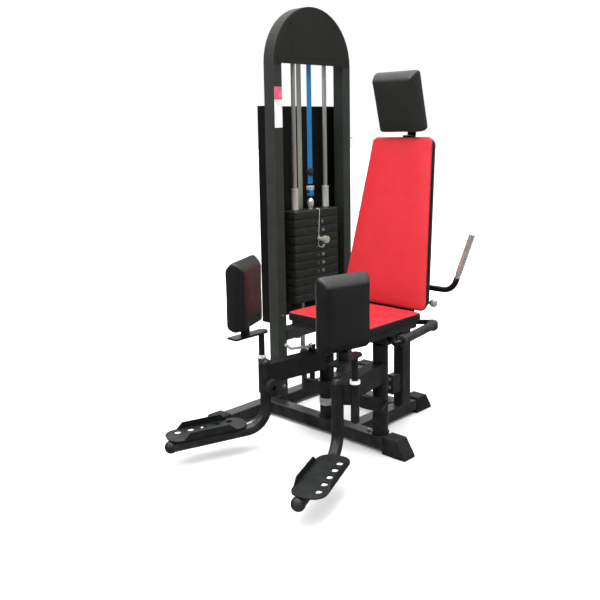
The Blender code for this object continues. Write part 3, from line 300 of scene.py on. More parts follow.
def cast(name, colour):
    """Painted cast iron: coarse sand texture with lighter rubbed spots."""
    material, tree, shader, coords = new_material(name, Specular_IOR_Level=0.38)
    patch = texture(tree, "ShaderNodeTexNoise", coords, 34.0, Detail=8.0, Roughness=0.7)
    pale = tuple(c * 2.1 for c in colour)
    link(tree, blended(tree, mapped(tree, patch.outputs["Fac"], 0.5, 0.72, 0, 0.8), colour, pale),
         shader.inputs["Base Color"])
    sand = texture(tree, "ShaderNodeTexVoronoi", coords, 360.0)
    fine = texture(tree, "ShaderNodeTexNoise", coords, 700.0, Detail=5.0)
    under = bumped(tree, sand.outputs["Distance"], 0.0004, 0.35)
    link(tree, bumped(tree, fine.outputs["Fac"], 0.0003, 0.5, under), shader.inputs["Normal"])
    link(tree, mapped(tree, patch.outputs["Fac"], 0.3, 0.7, 0.62, 0.42), shader.inputs["Roughness"])
    return material


def webbing(name, colour):
    """Woven, rubber-coated belt: diagonal twill and a slightly paler rubbed middle."""
    material, tree, shader, coords = new_material(name, Specular_IOR_Level=0.22)
    twill = texture(tree, "ShaderNodeTexWave", coords, 260.0, (0, 1, 1), bands_direction="DIAGONAL")
    weft = texture(tree, "ShaderNodeTexWave", coords, 190.0, (0, 1, -1), bands_direction="DIAGONAL")
    fade = texture(tree, "ShaderNodeTexNoise", coords, 12.0, (1, 1, 0.3), Detail=5.0)
    pale = tuple(min(1, c * 1.2 + 0.004) for c in colour)
    tone = blended(tree, mapped(tree, fade.outputs["Fac"], 0.35, 0.7, 0, 1), colour, pale)
    dark = tuple(c * 0.55 for c in colour)
    link(tree, blended(tree, mapped(tree, twill.outputs["Fac"], 0.0, 0.35, 0.7, 0), tone, dark),
         shader.inputs["Base Color"])
    under = bumped(tree, twill.outputs["Fac"], 0.0004, 0.5)
    link(tree, bumped(tree, weft.outputs["Fac"], 0.0003, 0.4, under), shader.inputs["Normal"])
    link(tree, mapped(tree, fade.outputs["Fac"], 0.3, 0.7, 0.5, 0.66), shader.inputs["Roughness"])
    return material


studio_world()

TOWER = painted("tower_coat", (0.026, 0.030, 0.026), (0.046, 0.049, 0.045), 0.56, gloss=0.28)
GREY = painted("grey_coat", (0.0085, 0.0090, 0.0090), (0.028, 0.028, 0.027), 0.32, gloss=0.34)
BLACK = painted("black_coat", (0.0048, 0.0052, 0.0050), (0.018, 0.018, 0.018), 0.34, gloss=0.30)
COVER = painted("cover_coat", (0.0130, 0.0135, 0.0116), (0.036, 0.036, 0.033), 0.42, grain=520,
                depth=0.00025)
FOOTSTEEL = painted("tread_coat", (0.0052, 0.0068, 0.0072), (0.036, 0.036, 0.034), 0.50, dust=0.03, gloss=0.25)
IRON = cast("cast_iron", (0.0115, 0.0138, 0.0102))
CHROME = metal("chrome", (0.82, 0.81, 0.79), 0.13)
SATIN = metal("satin_plating", (0.84, 0.83, 0.79), 0.30, (1, 1, 0.02), 0.000003, 0.70, 0.08)
PLATING = metal("lever_plating", (0.90, 0.89, 0.84), 0.27, (1, 1, 0.02), 0.000003, 0.80, 0.06)
KNOB = metal("knob_plating", (0.56, 0.57, 0.47), 0.32, (1, 1, 1), 0.000003, 0.55, 0.10)
ROD = metal("rod_chrome", (0.80, 0.81, 0.75), 0.33, (1, 1, 0.004), 0.000003, 0.90, 0.05)
STEEL = metal("dull_steel", (0.42, 0.42, 0.41), 0.34)
RUBBER = rubbery("grey_rubber", (0.0050, 0.0054, 0.0050))
GRIP = rubbery("grip_rubber", (0.017, 0.018, 0.016), 0.66)
NYLON = rubbery("white_nylon", (0.60, 0.60, 0.57), 0.45, 300, 0.0001)
BELT = webbing("belt_weave", (0.004, 0.136, 0.345))
BELT_BACK = webbing("belt_backing", (0.270, 0.285, 0.235))
PAD_VINYL = grained("black_vinyl", (0.0042, 0.0050, 0.0048), 0.42, sheen=0.02, gloss=0.52)
BOARD = grained("board_cover", (0.010, 0.010, 0.0105), 0.55)
LABEL = rubbery("label_film", (0.60, 0.60, 0.61), 0.35, 200, 0.00005)
LABEL_BAND = rubbery("label_band", (0.50, 0.09, 0.15), 0.35, 200, 0.00005)
INK = rubbery("plate_ink", (0.30, 0.30, 0.28), 0.6, 500, 0.00005)
RED = (0.560, 0.022, 0.031)
BORDER = (0.010, 0.010, 0.0105)

NODE_MATERIALS = {
    TOWER: ("tower_frame",), GREY: ("base_frame", "seat_frame", "pivot_post", "swing_arm", "pad_post", "cam_"),
    BLACK: ("rear_shroud", "side_handle", "backrest_frame"),
    COVER: ("arch_cover",), FOOTSTEEL: ("foot_plate",), IRON: ("weight_plate", "head_plate"),
    SATIN: ("range_lever",), PLATING: ("hand_lever",), KNOB: ("selector_pin", "tilt_pull_pin"),
    ROD: ("guide_rod",),
    STEEL: ("belt_clamp", "top_pulley", "low_pulley", "pin_lanyard"),
    RUBBER: ("boot_", "stack_buffer", "arm_bumper", "belt_stop"), GRIP: ("handle_grip",),
    NYLON: ("rod_bush",), BELT: ("belt_front", "belt_return"), BOARD: ("seat_board", "backrest_board"),
    PAD_VINYL: ("thigh_pad", "headrest_pad", "seat_cushion", "backrest_cushion"),
}
for material, starts in NODE_MATERIALS.items():
    for name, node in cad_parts.items():
        if name.startswith(starts):
            for holder in node.material_slots:
                holder.material = material

# ---------------------------------------------------------------- mesh helpers


def finish_piece(name, mesh, material, body, smooth=radians(32)):
    """The mesh as a piece riding on a body. Without a body it is left free, to be blended."""
    mesh.name = name
    mesh.materials.clear()
    mesh.materials.append(material)
    mesh.shade_smooth()
    mesh.set_sharp_from_angle(angle=smooth)
    piece = bpy.data.objects.new(name, mesh)
    bpy.context.scene.collection.objects.link(piece)
    if body:
        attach(piece, body)
    return piece


def mesh_from(shape):
    bmesh.ops.recalc_face_normals(shape, faces=shape.faces)
    mesh = bpy.data.meshes.new("piece")
    shape.to_mesh(mesh)
    shape.free()
    return mesh


def baked(guide):
    """The mesh of a curve object or of a piece with its modifiers. The object is removed."""
    bpy.context.view_layer.update()
    graph = bpy.context.evaluated_depsgraph_get()
    mesh = bpy.data.meshes.new_from_object(guide.evaluated_get(graph))
    mesh.transform(guide.matrix_world)
    bpy.data.objects.remove(guide, do_unlink=True)
    shape = bmesh.new()
    shape.from_mesh(mesh)
    bmesh.ops.remove_doubles(shape, verts=shape.verts, dist=0.00002)
    bmesh.ops.recalc_face_normals(shape, faces=shape.faces)
    shape.to_mesh(mesh)
    shape.free()
    return mesh


def spline_guide(splines, closed, dimensions, radii=None):
    curve = bpy.data.curves.new("guide", "CURVE")
    curve.dimensions = dimensions
    for points in splines:
        spline = curve.splines.new("POLY")
        spline.points.add(len(points) - 1)
        for k, point in enumerate(points):
            spline.points[k].co = (*Vector(point).to_3d(), 1.0)
            if radii:
                spline.points[k].radius = radii[k]
        spline.use_cyclic_u = closed
    guide = bpy.data.objects.new("guide", curve)
    bpy.context.scene.collection.objects.link(guide)
    return guide


def tube_mesh(points, radius, closed=False, resolution=6, radii=None):
    guide = spline_guide([points], closed, "3D", radii)
    guide.data.bevel_depth = radius
    guide.data.bevel_resolution = resolution
    guide.data.use_fill_caps = not closed
    return baked(guide)


def plate_mesh(outlines, thickness, edge, where):
    """A flat plate with holes and rounded edges, centred on the plane of a matrix."""
    guide = spline_guide(outlines, True, "2D")
    guide.data.fill_mode = "BOTH"
    guide.data.extrude = thickness / 2 - edge
    guide.data.bevel_depth = edge
    guide.data.bevel_resolution = 2
    guide.data.offset = -edge
    guide.matrix_world = where
    return baked(guide)


def turned_mesh(profile, origin, axis, sides=40):
    """A solid turned from (distance along the axis, radius) pairs. Its ends are closed."""
    turn = Vector(axis).to_track_quat("Z", "Y").to_matrix().to_4x4()
    turn.translation = origin
    shape = bmesh.new()
    rings = []
    for along, radius in profile:
        rings.append([shape.verts.new(turn @ Vector((radius * cos(2 * pi * k / sides),
                                                     radius * sin(2 * pi * k / sides), along)))
                      for k in range(sides)])
    for one, two in zip(rings, rings[1:]):
        for k in range(sides):
            shape.faces.new((one[k], one[(k + 1) % sides], two[(k + 1) % sides], two[k]))
    shape.faces.new(rings[0][::-1])
    shape.faces.new(rings[-1])
    return mesh_from(shape)


def ring_mesh(profile, origin, axis, sides=40):
    """A closed section of (along, radius) pairs turned all the way round: a ring or sleeve."""
    turn = Vector(axis).to_track_quat("Z", "Y").to_matrix().to_4x4()
    turn.translation = origin
    shape = bmesh.new()
    rings = []
    for along, radius in profile:
        rings.append([shape.verts.new(turn @ Vector((radius * cos(2 * pi * k / sides),
                                                     radius * sin(2 * pi * k / sides), along)))
                      for k in range(sides)])
    for one, two in zip(rings, rings[1:] + rings[:1]):
        for k in range(sides):
            shape.faces.new((one[k], one[(k + 1) % sides], two[(k + 1) % sides], two[k]))
    return mesh_from(shape)


def arc_at(before, corner, after, radius, step):
    into, out = (corner - before).normalized(), (after - corner).normalized()
    angle = into.angle(out)
    centre = corner + (out - into).normalized() * (radius / cos(angle / 2))
    start = corner - into * (radius * tan(angle / 2)) - centre
    count = max(2, ceil(angle / step))
    return [centre + start * cos(angle * k / count) + into * (radius * sin(angle * k / count))
            for k in range(count + 1)]


def round_outline(corners, radius, step=radians(10)):
    outline = []
    for k, corner in enumerate(corners):
        before, after = corners[k - 1], corners[(k + 1) % len(corners)]
        outline += arc_at(Vector(before), Vector(corner), Vector(after), radius, step)
    return outline


def circle(centre, radius, sides=20):
    return [(centre[0] + radius * cos(2 * pi * k / sides),
             centre[1] + radius * sin(2 * pi * k / sides)) for k in range(sides)]


def softened(corners, radii, step=radians(8)):
    path = [Vector(corners[0])]
    for before, corner, after, radius in zip(corners, corners[1:], corners[2:], radii):
        path += arc_at(Vector(before), Vector(corner), Vector(after), radius, step)
    path.append(Vector(corners[-1]))
    return path


# ---------------------------------------------------------------- cushions
VOXEL = 0.005
CLOTH_STEPS = 20
TAUT_STEPS = 30


def rounded_block(outline, low, high, where, edge):
    """A block over an outline from depth low to high, with rounded rims, before inflation."""
    guide = spline_guide([outline], True, "2D")
    guide.data.fill_mode = "BOTH"
    guide.data.extrude = (high - low) / 2 - edge
    guide.data.bevel_depth = edge
    guide.data.bevel_resolution = 3
    guide.data.offset = -edge
    guide.matrix_world = where @ Matrix.Translation((0, 0, (low + high) / 2))
    return baked(guide)


def remeshed(mesh, voxel):
    block = bpy.data.objects.new("block", mesh)
    bpy.context.scene.collection.objects.link(block)
    change = block.modifiers.new("remesh", "REMESH")
    change.mode = "VOXEL"
    change.voxel_size = voxel
    smooth = block.modifiers.new("smooth", "SMOOTH")
    smooth.iterations = 3
    return baked(block)


def inflated(mesh, cap, pressure=4.0):
    """The mesh blown up as cloth. No point ends further than cap from where it began, and the
    wrinkles are pulled out, as vinyl is over foam."""
    start = [vertex.co.copy() for vertex in mesh.vertices]
    skin = bpy.data.objects.new("skin", mesh)
    bpy.context.scene.collection.objects.link(skin)
    cloth = skin.modifiers.new("cloth", "CLOTH")
    cloth.settings.use_pressure = True
    cloth.settings.uniform_pressure_force = pressure
    cloth.settings.effector_weights.gravity = 0.0
    cloth.settings.tension_stiffness = 30.0
    cloth.settings.compression_stiffness = 30.0
    cloth.settings.bending_stiffness = 2.0
    cloth.settings.quality = 5
    cloth.collision_settings.use_collision = False
    cloth.point_cache.frame_start, cloth.point_cache.frame_end = 1, CLOTH_STEPS
    scene = bpy.context.scene
    for step in range(1, CLOTH_STEPS + 1):
        scene.frame_set(step)
    graph = bpy.context.evaluated_depsgraph_get()
    blown = bpy.data.meshes.new_from_object(skin.evaluated_get(graph))
    bpy.data.objects.remove(skin, do_unlink=True)
    scene.frame_set(1)
    moves = []
    for vertex, origin in zip(blown.vertices, start):
        move = vertex.co - origin
        moves.append(move.normalized() * min(move.length, cap))
    neighbours = [[] for _ in start]
    for edge in blown.edges:
        one, two = edge.vertices
        neighbours[one].append(two)
        neighbours[two].append(one)
    for _ in range(TAUT_STEPS):
        moves = [(move + sum((moves[n] for n in near), Vector())) / (1 + len(near))
                 for move, near in zip(moves, neighbours)]
    for vertex, origin, move in zip(blown.vertices, start, moves):
        vertex.co = origin + move
    return blown


def filled_out(points, outline, depth):
    """Points in the cushion's own plane, stretched to fill its CAD block again."""
    wanted = [(min(p[k] for p in outline), max(p[k] for p in outline)) for k in (0, 1)] + [(0, depth)]
    for k, (low, high) in enumerate(wanted):
        first, last = min(p[k] for p in points), max(p[k] for p in points)
        for point in points:
            point[k] = low + (point[k] - first) * (high - low) / (last - first)
    return points


def shrunk(outline, inset):
    """The outline moved inwards."""
    centre = sum((Vector(p) for p in outline), Vector((0, 0))) / len(outline)
    small = []
    for k, point in enumerate(outline):
        tangent = (Vector(outline[(k + 1) % len(outline)]) - Vector(outline[k - 1])).normalized()
        normal = Vector((-tangent.y, tangent.x))
        if normal.dot(centre - Vector(point)) < 0:
            normal = -normal
        small.append(Vector(point) + normal * inset)
    return small


def cushion(name, node, outline, depth, where, material, body, edge, cap, crown, voxel=VOXEL):
    """A seat or back cushion in place of its CAD node. Depth runs from the face (0) to the
    board behind it, where the cushion is flat."""
    inset = 0.003
    mesh = remeshed(rounded_block(shrunk(outline, inset), inset, depth, where, edge), voxel)
    mesh = inflated(mesh, cap)
    inverse = where.inverted()
    points = [inverse @ vertex.co for vertex in mesh.vertices]
    half = [max(abs(p[0]) for p in outline), (max(p[1] for p in outline) - min(p[1] for p in outline)) / 2]
    mid = min(p[1] for p in outline) + half[1]
    for point in points:
        rise = max(0, 1 - (point.x / half[0]) ** 4) * max(0, 1 - ((point.y - mid) / half[1]) ** 4)
        point.z -= crown * rise * max(0, 1 - point.z / depth)
        ripple = noise.noise(point * 26) * 0.0006 + noise.noise(point * 60) * 0.0002
        point.z += ripple * max(0, 1 - point.z / depth)
    for vertex, point in zip(mesh.vertices, filled_out(points, outline, depth)):
        vertex.co = where @ point
    piece = finish_piece(name, mesh, material, body, pi)
    smooth = piece.modifiers.new("finer", "SUBSURF")
    smooth.levels = smooth.render_levels = 1
    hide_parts(node)
    return piece


def seam_path(piece, outline, depth, where, outward=0.0):
    """Points on a cushion's skin, all round, at one depth."""
    graph = bpy.context.evaluated_depsgraph_get()
    tree = BVHTree.FromObject(piece, graph)
    centre = sum((Vector(p) for p in outline), Vector((0, 0))) / len(outline)
    path = []
    for k, flat in enumerate(outline):
        point = Vector(flat)
        tangent = (Vector(outline[(k + 1) % len(outline)]) - Vector(outline[k - 1])).normalized()
        normal = Vector((-tangent.y, tangent.x))
        if normal.dot(centre - point) < 0:
            normal = -normal
        far = point - normal * 0.04
        origin = where @ Vector((far.x, far.y, depth))
        direction = (where.to_3x3() @ Vector((normal.x, normal.y, 0))).normalized()
        hit = tree.ray_cast(origin, direction, 0.12)[0]
        if hit:
            path.append(hit - direction * outward)
    return path


def even_path(points, closed, step):
    """The same line with a point every step metres."""
    ring = list(points) + ([points[0]] if closed else [])
    made, carry = [], 0.0
    for one, two in zip(ring, ring[1:]):
        length = (two - one).length
        while carry < length:
            made.append(one.lerp(two, carry / length))
            carry += step
        carry -= length
    return made


def piping(name, piece, outline, depth, where, radius, material, body):
    """A sewn welt that follows the cushion's skin."""
    path = even_path(seam_path(piece, outline, depth, where, radius * 0.25), True, 0.004)
    return finish_piece(name, tube_mesh(path, radius, True, 3), material, body, pi)


def seat():
    low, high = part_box("seat_cushion")
    x, y = (high[0] - low[0]) / 2, (high[1] - low[1]) / 2
    depth = high[2] - low[2]
    where = axes((1, 0, 0), (0, -1, 0), Vector(((low[0] + high[0]) / 2, (low[1] + high[1]) / 2, high[2])))
    outline = round_outline([(-x, -y), (x, -y), (x, y), (-x, y)], 0.022, radians(12))
    vinyl = grained("seat_vinyl", RED, 0.40, BORDER, (0, 0, -1), 0.0075 - high[2], 0.03, 0.26)
    piece = cushion("seat_pad", "seat_cushion", outline, depth, where, vinyl, "frame", 0.006, 0.006, 0.003)
    piping("seat_welt", piece, outline, 0.0080, where, 0.0009, PAD_VINYL, "frame")


def backrest():
    tilt = radians(11.5)
    up = Vector((0, sin(tilt), cos(tilt)))
    foot = place(0, 0.1995, 0.5348)
    where = axes((-1, 0, 0), up, foot)
    low, top, length, depth = 0.216, 0.150, 0.685, 0.030
    outline = round_outline([(-low, -0.009), (low, -0.009), (top, length), (-top, length)], 0.026,
                            radians(12))
    behind = Vector((0, up.z, -up.y))
    vinyl = grained("back_vinyl", RED, 0.40, BORDER, tuple(behind), behind.dot(foot) + 0.0130, 0.03, 0.26)
    piece = cushion("back_pad", "backrest_cushion", outline, depth, where, vinyl, "backrest", 0.006, 0.006,
                    0.004, voxel=0.006)
    piping("back_welt", piece, outline, 0.0135, where, 0.0009, PAD_VINYL, "backrest")
    # A black flap below the backrest's lower edge, behind the cushion: painted shadow that shows as a dark line
    # in the gap above the seat.
    shadow_flap = round_outline([(-0.150, -0.026), (0.150, -0.026), (0.164, 0.020), (-0.164, 0.020)], 0.008)
    mesh = plate_mesh([shadow_flap], 0.004, 0.0012, where @ Matrix.Translation((0, 0, depth - 0.003)))
    finish_piece("back_shadow_flap", mesh, BOARD, "backrest")


def rolled(distance, drop, reach):
    """How far a rolled edge has dropped at a distance behind the crease it starts from."""
    return drop * max(0.0, 1 - max(0.0, distance) / reach) ** 1.5


def block_pad(name, node, outline, depth, where, body, rolls, reach, cap, crown, vinyl=None):
    """A foam pad covered in vinyl with mitred corners. Rolls gives, for the front and the back
    face, how far the edge drops along X and, at the low and the high end, along Y. Reach is
    how deep the roll goes."""
    inset = 0.004
    mesh = remeshed(rounded_block(shrunk(outline, inset), inset, depth - inset, where, 0.003), VOXEL)
    inverse = where.inverted()
    half_x = max(abs(p[0]) for p in outline)
    half_y = (max(p[1] for p in outline) - min(p[1] for p in outline)) / 2
    mid = min(p[1] for p in outline) + half_y
    for vertex in mesh.vertices:
        point = inverse @ vertex.co
        (front_x, front_y), (back_x, back_y) = rolls
        ahead, behind = reach, depth - reach
        end = point.y > mid
        drop_x = rolled(point.z, front_x, ahead) + rolled(depth - point.z, back_x, behind)
        drop_y = rolled(point.z, front_y[end], ahead) + rolled(depth - point.z, back_y[end], behind)
        point.x *= (half_x - drop_x) / half_x
        point.y = mid + (point.y - mid) * (half_y - drop_y) / half_y
        vertex.co = where @ point
    mesh = inflated(mesh, cap)
    points = [inverse @ vertex.co for vertex in mesh.vertices]
    for point in points:
        rise = max(0.0, 1 - (point.x / half_x) ** 2) * max(0.0, 1 - ((point.y - mid) / half_y) ** 2)
        point.z += crown * rise * (1 if point.z > depth / 2 else -1)
        point.z += noise.noise(point * 24) * 0.0006 + noise.noise(point * 70) * 0.0002
    for vertex, point in zip(mesh.vertices, filled_out(points, outline, depth)):
        vertex.co = where @ point
    piece = finish_piece(name, mesh, vinyl or PAD_VINYL, body, pi)
    smooth = piece.modifiers.new("finer", "SUBSURF")
    smooth.levels = smooth.render_levels = 1
    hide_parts(node)
    return piece


def headrest():
    tilt = radians(14.2)
    up = Vector((0, -sin(tilt), cos(tilt)))
    where = axes((-1, 0, 0), up, place(0, 0.3149, 1.2160))
    half, length, depth = 0.108, 0.247, 0.080
    outline = round_outline([(-half, 0), (half, 0), (half, length), (-half, length)], 0.014, radians(15))
    # The headrest gets a lighter copy of the black pad vinyl: painted light, so its face reads brighter than the
    # thigh pads under the same lamps.
    piece = block_pad("head_pad", "headrest_pad", outline, depth, where, "backrest",
                      ((0.016, (0.008, 0.028)), (0.006, (0.006, 0.010))), 0.055, 0.0025, 0.002,
                      grained("painted_light_head_vinyl", (0.0130, 0.0138, 0.0125), 0.46, sheen=0.02, gloss=0.46))
    piping("head_seam", piece, outline, depth - 0.012, where, 0.0008, PAD_VINYL, "backrest")


def thigh_pad(side, word):
    turn = {1: radians(12), -1: radians(25)}[side]
    forward = Vector((-sin(turn) * side, -cos(turn), 0))
    low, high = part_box(f"thigh_pad_{word}")
    length, depth, height = 0.212, 0.086, high[2] - low[2]
    where = axes(forward, (0, 0, 1), (Vector(low) + Vector(high)) / 2)
    where = where @ Matrix.Translation((0, 0, -depth / 2))
    x, z = length / 2, height / 2
    outline = round_outline([(-x, -z), (x, -z), (x, z), (-x, z)], 0.014, radians(15))
    ends = ({1: 0.034, -1: 0.012}[side], 0.037)
    block_pad(f"leg_pad_{word}", f"thigh_pad_{word}", outline, depth, where, f"{word}_pad",
              ((0.019, ends), (0.019, ends)), depth / 2, 0.0025, 0.002)


seat()
backrest()
headrest()
for side, word in ((1, "left"), (-1, "right")):
    thigh_pad(side, word)

# ---------------------------------------------------------------- weight stack
PLATE_PITCH, STACK_TOP, PIN_PLATE = 0.0377, 0.8822, 3
STACK_X = -0.473
ROD_Y = (TOWER_MID - 0.101, TOWER_MID + 0.101)


def stack_outline():
    x, y = 0.045, 0.142
    return round_outline([(-x, -y), (x, -y), (x, y), (-x, y)], 0.012, radians(15))


def plate_casting(name, top, centre_hole, body, node):
    holes = [circle((0, y - TOWER_MID), 0.0115, 24) for y in ROD_Y]
    if centre_hole:
        holes.append(circle((0, 0), 0.014, 24))
    height = PLATE_PITCH - 0.0010
    where = axes((1, 0, 0), (0, 1, 0), place(STACK_X, TOWER_MID, top - height / 2 - 0.0002))
    mesh = plate_mesh([stack_outline(), *holes], height, 0.0032, where)
    piece = finish_piece(name, mesh, IRON, body, radians(40))
    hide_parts(node)
    return piece


def stack():
    head = plate_casting("head_casting", STACK_TOP, False, "lifted_stack", "head_plate")
    for side, y in zip(("front", "rear"), ROD_Y):
        sleeve = ring_mesh([(0, 0.0112), (0.006, 0.0168), (0.010, 0.0155), (0.094, 0.0155),
                            (0.096, 0.0168), (0.100, 0.0160), (0.100, 0.0112)],
                           place(STACK_X, y, STACK_TOP - 0.001), (0, 0, 1))
        finish_piece(f"guide_sleeve_{side}", sleeve, SATIN, "lifted_stack")
    low = STACK_TOP - PLATE_PITCH * 11 + 0.006
    stem = turned_mesh([(0, 0.0090), (0.004, 0.0125), (STACK_TOP - 0.030 - low, 0.0125)],
                       place(STACK_X, TOWER_MID, low), (0, 0, 1))
    finish_piece("selector_stem", stem, STEEL, "lifted_stack")
    for number in range(1, 11):
        body = "lifted_stack" if number <= PIN_PLATE else "frame"
        top = STACK_TOP - PLATE_PITCH * number
        plate_casting(f"stack_plate_{number:02d}", top, True, body, f"weight_plate_{number:02d}")
        face = place(STACK_X + 0.0449, TOWER_MID, top - PLATE_PITCH / 2)
        hole = ring_mesh([(-0.001, 0.0052), (-0.001, 0.0074), (0.0006, 0.0070), (0.0006, 0.0056)],
                         face, (1, 0, 0), 24)
        finish_piece(f"pin_hole_rim_{number:02d}", hole, STEEL, body)
        # A thin black disc in each pin hole: painted shade standing in for the dark inside of the hole.
        hole_shade_disc = turned_mesh([(0, 0.0054), (0.0007, 0.0054)], face - Vector((0.0004, 0, 0)), (1, 0, 0), 24)
        if number != PIN_PLATE:
            finish_piece(f"pin_hole_{number:02d}", hole_shade_disc, BOARD, body)
        numeral(number * 5, face + Vector((0.0003, 0.024, -0.006)), body)


def numeral(value, origin, body):
    """A plain number stencilled beside a pin hole."""
    text = bpy.data.curves.new("numeral", "FONT")
    text.body = str(value)
    text.size = 0.0185
    text.extrude = 0.0002
    text.resolution_u = 3
    guide = bpy.data.objects.new("numeral", text)
    bpy.context.scene.collection.objects.link(guide)
    guide.matrix_world = axes((0, 1, 0), (0, 0, 1), origin)
    finish_piece(f"numeral_{value}", baked(guide), INK, body)


def lanyard():
    """Bead chain from the head plate, down its face in a loop and up to the pin's knob."""
    face, y, pin = STACK_X + 0.045, TOWER_MID, STACK_TOP - PLATE_PITCH * 3.5
    line = softened([place(face - 0.020, y + 0.012, STACK_TOP + 0.0022),
                     place(face + 0.0045, y + 0.006, STACK_TOP + 0.0022),
                     place(face + 0.0045, y - 0.004, pin - 0.034), place(face + 0.026, y + 0.002, pin - 0.040),
                     place(face + 0.041, y + 0.004, pin - 0.0155)], [0.0040, 0.010, 0.012])
    shape = bmesh.new()
    for point in even_path(line, False, 0.0040):
        bmesh.ops.create_icosphere(shape, subdivisions=2, radius=0.0017,
                                   matrix=Matrix.Translation(point))
    piece = finish_piece("bead_chain", mesh_from(shape), SATIN, "lifted_stack", pi)
    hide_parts("pin_lanyard")
    wire = tube_mesh(line, 0.0006, False, 1)
    finish_piece("chain_wire", wire, STEEL, "lifted_stack", pi)


def clamp():
    """Riveted belt end, its loop round a cross pin, and the yoke screwed to the head plate."""
    x, y = STACK_X, TOWER_MID
    yoke = turned_mesh([(0, 0.0095), (0.010, 0.0095), (0.013, 0.0125), (0.026, 0.0150), (0.038, 0.0145),
                        (0.046, 0.0105), (0.050, 0.0060)], place(x, y, STACK_TOP - 0.0005), (0, 0, 1), 32)
    piece = finish_piece("belt_yoke", yoke, SATIN, "lifted_stack")
    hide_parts("belt_clamp")
    upright = axes((1, 0, 0), (0, 0, 1), place(x, y, 0.948))
    outer = [(0.0095 * sin(a), 0.012 + 0.016 * cos(a) if cos(a) > 0 else 0.0095 * cos(a))
             for a in (2 * pi * k / 28 for k in range(28))]
    inner = [(p[0] * 0.62, p[1] * 0.72 + 0.001) for p in outer]
    loop = plate_mesh([outer, inner], 0.026, 0.0008, upright)
    finish_piece("belt_loop", loop, BELT, "lifted_stack")
    pin = turned_mesh([(0, 0.0046), (0.001, 0.0058), (0.035, 0.0058), (0.036, 0.0046)],
                      place(x, y - 0.018, 0.948), (0, 1, 0), 20)
    finish_piece("belt_cross_pin", pin, STEEL, "lifted_stack")
    for k, offset in enumerate((-0.0060, 0.0060)):
        cheek = plate_mesh([round_outline([(-0.019, -0.010), (0.019, -0.010), (0.019, 0.010),
                                           (-0.019, 0.010)], 0.006)], 0.004, 0.0012,
                           axes((0, 1, 0), (0, 0, 1), place(x + offset, y, 0.978)))
        finish_piece(f"clamp_plate_{k}", cheek, SATIN, "lifted_stack")
    for k, offset in enumerate((-0.011, 0.011)):
        hex_bolt(f"clamp_bolt_{k}", place(x + 0.0080, y + offset, 0.978), (1, 0, 0), 0.0058,
                 "lifted_stack", False)


def ribbon_mesh(path, near, far, half, y):
    """One layer of a flat belt along points in the XZ plane, from near to far off its middle."""
    shape = bmesh.new()
    rings = []
    for k, point in enumerate(path):
        along = (path[min(k + 1, len(path) - 1)] - path[max(k - 1, 0)]).normalized()
        out = Vector((along.y, -along.x))
        rings.append([])
        for offset, edge in ((near, -half), (far, -half), (far, half), (near, half)):
            flat = point + out * offset
            rings[-1].append(shape.verts.new((flat.x, y + edge, flat.y)))
    for one, two in zip(rings, rings[1:]):
        for k in range(4):
            shape.faces.new((one[k], one[(k + 1) % 4], two[(k + 1) % 4], two[k]))
    shape.faces.new(rings[0][::-1])
    shape.faces.new(rings[-1])
    return mesh_from(shape)


def belt():
    """The lifting belt, blue outside with a pale backing. The strand over the stack shortens
    as the stack rises, and the rest runs over the top pulley and under the low one."""
    low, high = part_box("belt_front")
    wheel, lower = middle("top_pulley"), middle("low_pulley")
    x, y, half = (low[0] + high[0]) / 2, (low[1] + high[1]) / 2, (high[1] - low[1]) / 2
    radius = x - wheel.x
    strand = [Vector((x, low[2] + (high[2] - low[2]) * k / 24)) for k in range(25)]
    over = [Vector((wheel.x + radius * cos(pi * k / 20), wheel.z + radius * sin(pi * k / 20)))
            for k in range(21)]
    under = [Vector((lower.x - radius * cos(pi * k / 20), lower.z - radius * sin(pi * k / 20)))
             for k in range(13)]
    for layer, near, far, material in (("face", -0.0001, 0.0015, BELT), ("backing", -0.0015, -0.0003, BELT_BACK)):
        piece = finish_piece(f"belt_{layer}_strand", ribbon_mesh(strand, near, far, half, y), material, None)
        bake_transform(piece)
        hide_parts("belt_front")
        piece = finish_piece(f"belt_{layer}_return", ribbon_mesh(over + under, near, far, half, y), material,
                             "frame")
        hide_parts("belt_return")


# ---------------------------------------------------------------- small fittings


def hex_bolt(name, origin, axis, size, body, washer=True):
    """Hexagon head with a turned chamfer, on a washer."""
    axis = Vector(axis).normalized()
    if washer:
        ring = turned_mesh([(0, size * 0.92), (0.0004, size), (0.0013, size), (0.0016, size * 0.93)],
                           origin, axis, 28)
        finish_piece(name + "_washer", ring, STEEL, body)
        origin = origin + axis * 0.0016
    across = size * 0.78
    head = turned_mesh([(0, across), (size * 0.42, across), (size * 0.55, across * 0.84),
                        (size * 0.56, across * 0.3)], origin, axis, 6)
    finish_piece(name, head, STEEL, body, radians(20))


def weld(name, path, body, radius=0.0028, closed=False):
    """A rippled bead along a joint."""
    line = even_path([Vector(p) for p in path], closed, 0.0011)
    radii = [1 + 0.16 * sin(2 * pi * k / 4.0) + 0.14 * noise.noise(point * 140)
             for k, point in enumerate(line)]
    finish_piece(name, tube_mesh(line, radius, closed, 2, radii), GREY, body, pi)


def rectangle_path(x0, x1, y0, y1, z):
    return [place(x0, y0, z), place(x1, y0, z), place(x1, y1, z), place(x0, y1, z)]


